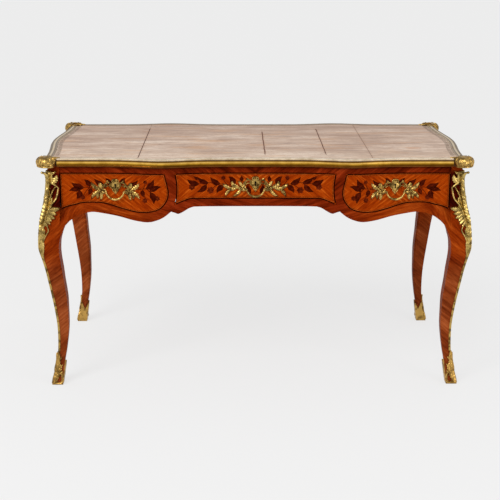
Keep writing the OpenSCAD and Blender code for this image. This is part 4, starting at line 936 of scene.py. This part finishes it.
def build_chute(name, side, end):
    """Knee mount: a volute and a plume over a scrolled window, then a dense acanthus down the arris."""
    cast = Cast()
    leg = on_leg(side, end)
    neck = [(side * (HALF_W + d / 1000), end * (HALF_D + d / 1000), z / 1000) for d, z in spline(VOLUTE, 5)]
    cast.tube(neck, VOLUTE_NECK, 16)
    cast.bead(neck[-1], VOLUTE_R, rings=12, sides=20, fluted=0.05, flutes=6)
    for s in (-1, 1):
        face = leg_face(leg, s)
        for path, widths, rises in MOUNT_EDGE:
            cast.ribbon(mirrored(leg, s), path, widths, rises, form="fluted", across=10)
        for path, widths, rises, form in MOUNT_STRANDS:
            cast.ribbon(face, path, widths, rises, 9 if form == "leaf" else 0, form)
        for base, tip, width, rise, bend, lobes in MOUNT_LEAVES:
            cast.dart(face, base, tip, width, rise * 0.55, bend, lobes, rise * 0.45)
        for b in np.linspace(0, 1, 8):
            cast.bead(face(-6.5 - 15.5 * b ** 1.4, 651 + 33 * b, 5.6), 0.0024, rings=6, sides=10)
    for middle, wide, tall, rise in MOUNT_BEADS:
        cast.dome(leg, oval(0, middle, wide, tall), rise, (0, middle))
    cast.dart(leg, (0, 636), (0, 560), 14, 5.0, 0, 7, 5.0)
    cast.dart(leg, (0, 566), (0, 500), 12, 4.0, 0, 6, 3.4)
    return cast.done(name, M_KNEE, "carcass", "gilt_bronze")


# A shoe on one face of the leg: path, widths, rises, form and steps between two points
SHOE_SCROLLS = [
    ([(5, 4), (-6, 4.5), (-18, 6), (-24, 13), (-24, 25), (-20, 35), (-14, 38), (-11, 32), (-14, 27)],
     [2.4, 2.6, 2.8, 3.0, 3.0, 2.8, 2.4, 1.8, 1.0],
     [2.6, 3.0, 3.4, 3.8, 4.0, 3.8, 3.4, 3.0, 2.6], "round", 8),
    ([(3, 10), (-4, 18), (-7, 28), (-6, 40)], [2.0, 2.6, 2.6, 1.6], [3.0, 3.4, 3.4, 2.8], "fluted", 6)]
# Its leaves: base, angle, length, width, rise, bend, lobes and lift
SHOE_LEAVES = [((-9, 40), 118, 34, 13, 3.4, -0.5, 5, 0.8), ((-7, 44), 92, 62, 13, 3.6, 0.1, 7, 1.2),
               ((-12, 36), 152, 15, 9, 2.8, -0.4, 3, 0.6), ((0, 8), 104, 46, 11, 3.0, 0.1, 5, 1.0)]
# How far the leaves on the faces and those on the arris stand out from the leg
SHOE_LIFT, SHOE_RIDGE = 4.0, 3.0


def build_shoe(name, side, end):
    """Shoe: a tall leaf up the outer arris, scrolls at the sole, and leaves over the inner edges."""
    cast = Cast()
    leg = on_leg(side, end)
    for s in (-1, 1):
        face = leg_face(leg, s, SHOE_LIFT)
        for path, widths, rises, form, n in SHOE_SCROLLS:
            cast.ribbon(face, path, widths, rises, form=form, n=n)
        for base, angle, length, width, rise, bend, lobes, lift in SHOE_LEAVES:
            cast.leaf(face, base, angle, length, width, rise, bend, lobes, lift)
    ridge = raised(leg, SHOE_RIDGE)
    cast.leaf(ridge, (0, 4), 90, 108, 20, 4.6, 0, 9, lift=1.0, curl=0.15)
    cast.dome(ridge, oval(0, 8, 7, 7), 5.0, (0, 8))
    cast.done(name, M_SHOE, "carcass", "gilt_bronze")


# A corner clasp in section: distance from its axis and height over its base, in millimetres
CLASP = [(29.5, 0), (32.4, 1.0), (33.6, 3.2), (32.9, 5.4), (31.6, 6.8), (32.6, 9), (33.9, 13),
         (34.0, 18), (32.6, 23), (29.6, 27.5), (25, 31), (18, 33.4), (10, 34.6), (1, 35)]
# The moulding under it, which carries the rim round the corner
CLASP_CORE = [(27.7, 0), (27.9, 3), (28.5, 5.5), (29.3, 8.5), (29.8, 13), (29.4, 17), (28.1, 19.5),
              (28.4, 23), (27.6, 27), (20, 28.4), (1, 28.5)]
CLASP_R = 34.0
CLASP_BASE = FRIEZE_Z - 0.001
# How far round it reaches to each side: at its foot, and from a height above that, in degrees and millimetres
CLASP_LOW, CLASP_HIGH, CLASP_RISE = 61.0, 118.0, 25.0
# Leaves over the clasp: round from its middle and up over its section, base then tip, width and lobes
CLASP_LEAVES = [(0, 8, 0, 50, 17, 6), (25, 8, 23, 44, 17, 6), (45, 18, 46, 44, 14, 5),
                (12.5, 8, 12.5, 27, 9, 3), (35, 9, 36, 27, 9, 3), (58, 27, 62, 43, 10, 3)]
# Tail of the clasp along the rim: distance of its axis in from the edge
TAIL_IN = 0.012


def on_clasp(side, end, section):
    """Place on a clasp, in millimetres: round from its outer middle, up along its section, out."""
    line = spline(section, 3)
    length = run_length(line)
    ahead = np.gradient(line, axis=0)
    ahead /= np.hypot(*ahead.T)[:, None]

    def place(a, v, h):
        r, z, dr, dz = (np.interp(v, length, row) for row in (*line.T, *ahead.T))
        turn = math.pi / 4 + a / CLASP_R
        r, z = (r + dz * h) / 1000, (z - dr * h) / 1000
        return (side * (HALF_W + r * math.cos(turn)), end * (HALF_D + r * math.sin(turn)), CLASP_BASE + z)
    return place, line, length


def add_wedge(cast, side, end, section, limit, steps=60):
    """Part of a turned shape round a corner's axis, as far each way as limit says for each height."""
    place, line, length = on_clasp(side, end, section)
    rows = len(line)
    points = [place(limit(z) * CLASP_R * (2 * i / steps - 1), v, 0.0)
              for i in range(steps + 1) for (r, z), v in zip(line, length)]
    axis = len(points)
    points += [(side * HALF_W, end * HALF_D, CLASP_BASE + z / 1000) for r, z in line]
    faces = grid_faces(steps + 1, rows)
    for first in (0, steps * rows):
        faces += [(first + k, first + k + 1, axis + k + 1, axis + k) for k in range(rows - 1)]
    for k in (0, rows - 1):
        faces += [(i * rows + k, (i + 1) * rows + k, axis + k) for i in range(steps)]
    cast.add(points, faces)


def clasp_limit(z):
    """How far round a clasp reaches at height z over its base, in radians."""
    return math.radians(CLASP_LOW + (CLASP_HIGH - CLASP_LOW) * min(1, max(0, z - 2) / CLASP_RISE))


def along_rim(side, end, long):
    """Place on the flat of the rim beside a clasp: away from the corner, out across the rim, up."""
    def place(u, v, h):
        away = (HALF_W if long else HALF_D) - u / 1000
        edge = (face_y if long else face_x)(away) + OVERHANG - TAIL_IN + v / 1000
        x, y = (away, edge) if long else (edge, away)
        return (side * x, end * y, DESK_H + h / 1000)
    return place


def build_clasp(name, side, end):
    """Corner clasp: a cushion over a bead that wraps the rim, leaves over it and a tail along each side."""
    cast = Cast()
    add_wedge(cast, side, end, CLASP, clasp_limit)
    add_wedge(cast, side, end, CLASP_CORE, lambda z: math.radians(CLASP_HIGH))
    place, line, length = on_clasp(side, end, CLASP)
    edge = [(clasp_limit(z) * CLASP_R - 1.2, v) for (r, z), v in zip(line, length) if 1 < v < 42]
    for s in (-1, 1):
        turned = mirrored(place, s)
        cast.ribbon(turned, edge[::3] + [edge[-1]], [1.3, 1.5, 1.4, 1.0], [1.5, 1.8, 1.8, 1.4], n=3)
        for a, v, b, w, width, lobes in CLASP_LEAVES:
            if a or s > 0:
                cast.dart(turned, (a, v), (b, w), width, 1.9, 0.06 * (a > 0), lobes, 0.3, 0.5)
    for k in range(-3, 4):
        cast.bead(place(12.0 * k, 7.2, 0.2), 0.0012, rings=6, sides=10)
    cast.bead((side * HALF_W, end * HALF_D, CLASP_BASE + 0.0345), 0.0042, (1, 1, 0.5), 8, 24, 0.1, 8)
    for long in (True, False):
        ledge = along_rim(side, end, long)
        cast.leaf(ledge, (8, 1), 0, 34, 17, 3.2, -0.1, 5, lift=0.2, curl=0.3)
        cast.leaf(ledge, (14, -5), -14, 22, 9, 2.6, 0.3, 3, lift=0.2, curl=0.3)
    return cast.done(name, M_CLASP, "carcass", "gilt_bronze")


def build_mounts():
    corners = [("front_left", -1, -1), ("front_right", 1, -1), ("back_left", -1, 1), ("back_right", 1, 1)]
    for corner, side, end in corners:
        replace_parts(build_chute("chute_" + corner, side, end), "knee_mounts")
    for corner, side, end in corners:
        build_shoe("shoe_leaf_" + corner, side, end)
        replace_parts(build_clasp("clasp_" + corner, side, end), "corner_clasps")
    for key, other, centre, height, sprays in HANDLES:
        drawer = key + "_drawer"
        build_handle(key + "_handle_relief", centre, height, sprays, drawer, key + "_handle_plate")
        build_keyhole(key + "_keyhole", centre, height, drawer)
        build_bail(key + "_bail_cast", centre, height, key + "_bail_body", key + "_bail")
        behind = "back_bail_" + other
        build_handle("back_handle_relief_" + other, centre, height, sprays, "carcass", "back_handle_plates",
                     True)
        build_keyhole("back_keyhole_" + other, centre, height, "carcass", True)
        build_bail("back_bail_cast_" + other, centre, height, behind + "_body", behind, True)


build_mounts()


# Marquetry, relative to a handle's centre, in millimetres: tip, base, width and bend of each leaf
OUTER_LEAVES = [(-143, 9, -103, -7, 16, 0.10), (-102, 20, -84, -4, 12, -0.12),
                (-152, -18, -114, -14, 13, -0.10), (-128, -45, -117, -17, 15, 0.12),
                (-89, -31, -81, -9, 11, 0.10), (-68, 23, -37, 2, 13, 0.12),
                (-32, 25, -17, 0, 12, -0.10), (34, 26, 22, 3, 12, 0.12), (75, 20, 37, -6, 13, -0.10),
                (127, 24, 101, -7, 14, -0.14), (152, 0, 114, -17, 13, 0.10),
                (126, -57, 115, -20, 15, 0.12), (94, -37, 91, -12, 11, -0.10)]
OUTER_STEMS = [[(-44, -10), (-66, -6), (-84, -6), (-103, -7), (-116, -14)],
               [(-84, -6), (-97, -20), (-106, -34)], [(-37, 2), (-50, -8)],
               [(44, -12), (68, -10), (90, -9), (102, -8), (114, -17), (128, -27), (136, -34)],
               [(91, -12), (97, -28), (97, -42)], [(90, -9), (97, 0), (98, 8)], [(37, -6), (48, -12)],
               [(-17, 0), (-22, -12)], [(22, 3), (26, -10)]]
# Flowers: place, radius and turn
OUTER_FLOWERS = [(97, -47, 9, 0.2), (138, -39, 9, 0.5), (99, 14, 7, 0.1), (-108, -40, 9, 0.3)]
CENTRE_LEAVES = [(-223, 14, -185, -2, 14, 0.12), (-191, 21, -154, 1, 12, 0.12),
                 (-204, 24, -190, 10, 6, -0.1), (-191, -29, -161, -5, 13, 0.12),
                 (-148, 20, -115, -3, 13, 0.12), (-127, -33, -104, -10, 14, -0.12),
                 (-88, 22, -70, -6, 14, -0.12), (-45, 24, -44, 6, 10, 0.05),
                 (-24, -4, -15, -34, 11, 0.12)]
CENTRE_STEMS = [[(-46, -14), (-70, -8), (-92, -6), (-115, -3), (-134, 0), (-154, 1), (-172, -1), (-185, -2),
                 (-198, -6)],
                [(-115, -3), (-131, -10), (-142, -17)], [(-161, -5), (-156, 0)],
                [(-104, -10), (-98, -6)], [(-92, -6), (-101, 4), (-104, 11)], [(-44, 6), (-50, -6)]]
CENTRE_FLOWERS = [(-208, -12, 11, 0.3), (-147, -24, 12, 0.1), (-105, 17, 8, 0.4)]
LEAF_SHARES = [0.15, 0.70, 1.0, 0.92, 0.66, 0.34, 0.04]
PETAL_SHARES = [0.10, 0.30, 0.42, 0.30, 0.05]
PETALS = 6
# Heights over the veneer, in millimetres, and the depth of the thin pieces that lie on others
STEM_TOP, LEAF_TOP, VEIN_TOP, PETAL_TOP, PETAL_VEIN_TOP, FLOWER_EYE_TOP = 0.20, 0.22, 0.27, 0.21, 0.25, 0.30
LINE_TOP, EDGE_TOP, BAND_TOP = 0.16, 0.12, 0.08
THIN = 0.1
VENEER = 0.12
# In from a panel's outline: stringing, dark edge (dark edging with the painted shade of the drawer's gap),
# and the start of the band, at the front and at the back
LINE_INSET = 5.6
EDGE_INSET = 1.6
BAND_INSET = 3.3
BACK_INSET = 0.7
LINE_HALF, EDGE_HALF = 0.55, 1.55


def mirrored_panel(leaves, stems, flowers):
    """The same branches on the other side of the middle."""
    return ([(-a, b, -c, d, width, -bend) for a, b, c, d, width, bend in leaves], [flipped(s) for s in stems],
            [(-u, v, r, math.pi - turn) for u, v, r, turn in flowers])


LEFT_PANEL = (OUTER_LEAVES, OUTER_STEMS, OUTER_FLOWERS)
CENTRE_HALF = (CENTRE_LEAVES, CENTRE_STEMS, CENTRE_FLOWERS)
PANELS = {"left": LEFT_PANEL, "right": mirrored_panel(*LEFT_PANEL),
          "centre": [half + other for half, other in zip(CENTRE_HALF, mirrored_panel(*CENTRE_HALF))]}


def build_marquetry(name, centre, height, panel, body, slot, back=False):
    """Branches of dark leaves and red flowers let into the panel, with a light vein along each leaf."""
    place = raised(on_front(centre, height, back), VENEER if back else 0.0)
    leaves, stems, flowers = panel
    dark, red, light = Cast(), Cast(), Cast()
    for stem in stems:
        dark.inlaid(place, stem, [1.1, 1.0, 0.8], STEM_TOP, 2, 5)
    for a, b, c, d, width, bend in leaves:
        tip, base = np.array((a, b), float), np.array((c, d), float)
        along = tip - base
        side = np.array((-along[1], along[0]))
        path = [base + along * t + side * bend * 4 * t * (1 - t) for t in np.linspace(0, 1, 5)]
        dark.inlaid(place, path, [share * width * 0.70 for share in LEAF_SHARES], LEAF_TOP, 4, 5)
        vein = path[:4] + [path[3] * 0.4 + path[4] * 0.6]
        light.inlaid(place, vein, [0.24, 0.20, 0.10], VEIN_TOP, 1, 5, THIN)
    for u, v, r, turn in flowers:
        for k in range(PETALS):
            a = turn + k * 2 * math.pi / PETALS
            turns = [(r * t, a + 0.25 * t) for t in (0.12, 0.4, 0.75, 1.0)]
            path = [(u + out * math.cos(b), v + out * math.sin(b)) for out, b in turns]
            red.inlaid(place, path, [share * r for share in PETAL_SHARES], PETAL_TOP, 4, 4)
            light.inlaid(place, path[:3], [0.14, 0.10], PETAL_VEIN_TOP, 1, 3, THIN)
        light.dome(place, oval(u, v, 0.17 * r, 0.17 * r, 12), FLOWER_EYE_TOP, (u, v), sunk=THIN, rings=2)
    dark.done(name + "_leaves", M_LEAF, body, slot)
    red.done(name + "_flowers", M_FLOWER, body, slot)
    light.done(name + "_veins", M_VEIN, body, slot)


def face_outline(node):
    """Outline of a drawer front's outer face as points (across, up), in millimetres."""
    shape = bmesh.new()
    shape.from_mesh(NODES[node].data)
    shape.transform(NODES[node].matrix_world)
    bmesh.ops.remove_doubles(shape, verts=shape.verts, dist=1e-6)
    shape.normal_update()

    def is_outer(face):
        middle = face.calc_center_median()
        return face.normal.y < -0.7 and abs(-middle.y - front_face(middle.x)) < 0.001
    outer = dict.fromkeys(filter(is_outer, shape.faces))
    step = {}
    for face in outer:
        for loop in face.loops:
            if sum(other in outer for other in loop.edge.link_faces) == 1:
                step[loop.vert] = loop.link_loop_next.vert
    best = (0, [])
    while step:
        chain = [next(iter(step))]
        while chain[-1] in step:
            chain.append(step.pop(chain[-1]))
        length = sum((a.co - b.co).length for a, b in zip(chain, chain[1:]))
        if length > best[0]:
            best = (length, [(v.co.x * 1000, v.co.z * 1000) for v in chain])
    shape.free()
    return np.array(best[1])


def signed_area(line):
    """Twice the area inside a closed outline, below zero where it runs clockwise."""
    return np.sum(line[:, 0] * np.roll(line[:, 1], -1) - line[:, 1] * np.roll(line[:, 0], -1))


def inset_line(outline, depth, spacing=0.8):
    """The closed outline moved inwards by depth, without the parts that cross at its corners."""
    line = resampled(outline, np.arange(0, run_length(outline)[-1], spacing))
    ahead = np.roll(line, -1, 0) - np.roll(line, 1, 0)
    ahead /= np.maximum(np.hypot(*ahead.T), TINY)[:, None]
    inward = np.stack([-ahead[:, 1], ahead[:, 0]], 1) * (1 if signed_area(line) > 0 else -1)
    moved = line + inward * depth
    away = np.array([np.min(np.hypot(*(line - p).T)) for p in moved])
    moved = moved[away > depth - 0.12]
    kept = [moved[0]]
    for i in range(1, len(moved) - 1):
        a, b, c = kept[-1], moved[i], moved[i + 1]
        (x, y), (far_x, far_y) = b - a, c - a
        off = abs(x * far_y - y * far_x) / max(math.hypot(far_x, far_y), TINY)
        if off > 0.04 or math.hypot(x, y) > 6:
            kept.append(b)
    return np.array(kept + [moved[-1]])


def build_lines(name, outline, body, slot, back=False):
    """Dark stringing round a panel, and the band of cross-cut veneer outside it; at the front also a dark
    edge, which paints the shade of the drawer's gap as well as dark edging.
    """
    place = raised(on_front(0, 0, back), VENEER if back else 0.0)
    first = BACK_INSET if back else BAND_INSET
    dark, band = Cast(), Cast()
    strips = [(dark, LINE_INSET, LINE_HALF, LINE_TOP)]
    if not back:
        # The dark edge: dark edging and painted shade of the gap round the drawer
        strips.append((dark, EDGE_INSET, EDGE_HALF, EDGE_TOP))
    strips.append((band, (first + LINE_INSET) / 2, (LINE_INSET - first) / 2 - 0.5, BAND_TOP))
    for cast, inset, half, top in strips:
        line = inset_line(outline, inset)
        cast.inlaid(place, np.vstack([line, line[:1]]), [half, half], top)
    dark.done(name + "_line", M_LINE, body, slot)
    band.done(name + "_band", M_BAND, body, slot)


def is_inside(line, u, v):
    """Whether a point lies inside a closed outline, more than 2 mm from it."""
    crossings = 0
    for a, b in zip(line, np.roll(line, -1, 0)):
        if (a[1] > v) != (b[1] > v) and u < a[0] + (v - a[1]) / (b[1] - a[1]) * (b[0] - a[0]):
            crossings += 1
    return crossings % 2 and np.min(np.hypot(*(line - (u, v)).T)) > 2


def build_sham(name, outline, material):
    """Veneer panel of a sham drawer in the back frieze, inside its groove."""
    line = inset_line(outline, BACK_INSET)
    low, high = line.min(0), line.max(0)
    across, up = np.arange(low[0] + 3, high[0] - 2, 5.0), np.arange(low[1] + 3, high[1] - 2, 12.0)
    inner = [(u, v) for u in across for v in up if is_inside(line, u, v)]
    if signed_area(line) < 0:
        line = line[::-1]
    flat = [Vector(p) for p in [*line, *inner]]
    points, edges, faces = delaunay_2d_cdt(flat, [], [list(range(len(line)))], 1, 1e-4)[:3]
    place = on_front(0, 0, True)
    count = len(points)
    used = dict.fromkeys((f[i - 1], f[i]) for f in faces for i in range(len(f)))
    walls = [(a, b, b + count, a + count) for a, b in used if (b, a) not in used]
    under = [tuple(v + count for v in reversed(f)) for f in faces]
    cast = Cast()
    cast.add([place(*p, h) for h in (VENEER, -0.3) for p in points], [*faces, *under, *walls])
    cast.done(name, material, "carcass", "kingwood")


def build_panels():
    """Marquetry, stringing and, at the back, the veneer of each drawer and of the sham drawer behind it."""
    for key, other, centre, height, sprays in HANDLES:
        outline = face_outline(key + "_drawer_front")
        build_marquetry(key + "_marquetry", centre, height, PANELS[key], key + "_drawer", "satine")
        build_lines(key + "_panel", outline, key + "_drawer", "satine")
        build_sham("back_panel_" + other, outline, NODES[other + "_drawer_front"].material_slots[0].material)
        build_marquetry("back_marquetry_" + other, centre, height, PANELS[key], "carcass", "kingwood", True)
        build_lines("back_panel_" + other, outline, "carcass", "kingwood", True)


build_panels()


FLOOR_TONE = (240, 240, 240)
FLOOR_HALF = 60.0
FLOOR_Z = -0.0005
# How much of the floor's own tone the camera and the metal see
FLOOR_GLOW = 0.8
WORLD_LIGHT = 0.62
SKY_TONES = [(0.0, (0.80, 0.80, 0.80)), (0.75, (1.0, 1.0, 1.0))]


def floor_material():
    """Pale floor with a light shadow: most of what the camera and the metal see is its own even tone."""
    s = Shader("floor", 0.9, specular=0.0)
    s.set("Base Color", rgb(*FLOOR_TONE))
    glow = s.value("ShaderNodeEmission", {"Color": rgb(*FLOOR_TONE)})
    rays = [s.value("ShaderNodeLightPath", output=ray) for ray in ("Is Camera Ray", "Is Glossy Ray")]
    seen = s.larger(*rays)
    own = Value(s, s.nodes["Principled BSDF"].outputs[0])
    both = s.value("ShaderNodeMixShader", enumerate([seen * FLOOR_GLOW, own, glow]))
    s.put(s.nodes["Material Output"].inputs["Surface"], both)
    return s.material


def build_floor():
    """A wide pale floor that runs past the picture's edges."""
    mesh = bpy.data.meshes.new("floor")
    r = FLOOR_HALF
    mesh.from_pydata([(-r, -r, 0), (r, -r, 0), (r, r, 0), (-r, r, 0)], [], [(0, 1, 2, 3)])
    floor = added("floor", mesh)
    floor.location.z = FLOOR_Z
    mesh.materials.append(floor_material())


def build_world():
    """Even pale light, a little brighter from above. The camera sees the floor's tone instead."""
    world = bpy.data.worlds.new("studio")
    bpy.context.scene.world = world
    world.use_nodes = True
    s = Tree(world.node_tree)
    height = s.value("ShaderNodeSeparateXYZ", {0: s.value("ShaderNodeTexCoord", output="Generated")}, 2)
    seen = s.value("ShaderNodeLightPath", output="Is Camera Ray")
    background = s.nodes["Background"].inputs
    s.put(background["Color"], s.mix(seen, s.ramp(height, SKY_TONES), rgb(*FLOOR_TONE)))
    s.put(background["Strength"], seen * (1.0 - WORLD_LIGHT) + WORLD_LIGHT)


def aimed(name, data, direction):
    """New lamp that shines along a direction."""
    made = added(name, data)
    made.rotation_mode = "QUATERNION"
    made.rotation_quaternion = Vector(direction).to_track_quat("-Z", "Y")
    return made


SUN_DIRECTION = (0.35, 0.75, -0.85)
LAMP_TARGET = (0, 0, 0.5)
# Lamps: place, width and height, in metres, and power in watts
LAMPS = {"key": ((-2.6, -3.2, 2.6), (1.6, 1.6), 60), "fill": ((2.8, -2.8, 1.4), (1.4, 2.0), 30)}


def build_lights():
    sun = bpy.data.lights.new("sun", "SUN")
    sun.energy = 1.0
    sun.angle = math.radians(35)
    aimed("sun", sun, SUN_DIRECTION)
    for name, (place, size, power) in LAMPS.items():
        data = bpy.data.lights.new(name, "AREA")
        data.shape = "RECTANGLE"
        data.size, data.size_y = size
        data.energy = power
        aimed(name, data, Vector(LAMP_TARGET) - Vector(place)).location = place


# Camera of the photograph, found from the feet, the corners of the top and the seams: its place in metres,
# its turns in radians, its focal length in pixels of a picture of this width, and its shift
CAMERA_PLACE = (-0.07068, -4.2083, 1.49482)
YAW, PITCH, ROLL = 0.01379, 0.25874, 0.00231
FOCAL_PX = 1201.66
PICTURE_W = 500
SENSOR_W = 36.0
SHIFT_UP = -0.002


def build_camera():
    ahead = Vector((math.sin(YAW) * math.cos(PITCH), math.cos(YAW) * math.cos(PITCH), -math.sin(PITCH)))
    level = Vector((math.cos(YAW), -math.sin(YAW), 0))
    upright = level.cross(ahead)
    right = level * math.cos(ROLL) + upright * math.sin(ROLL)
    up = upright * math.cos(ROLL) - level * math.sin(ROLL)
    data = bpy.data.cameras.new("camera")
    data.sensor_width = SENSOR_W
    data.lens = FOCAL_PX / PICTURE_W * SENSOR_W
    data.shift_y = SHIFT_UP
    data.clip_end = 200
    made = added("camera", data)
    made.matrix_world = Matrix.Translation(CAMERA_PLACE) @ Matrix((right, up, -ahead)).transposed().to_4x4()
    bpy.context.scene.camera = made


build_floor()
build_world()
build_lights()
build_camera()
bpy.context.scene.view_settings.view_transform = "Standard"
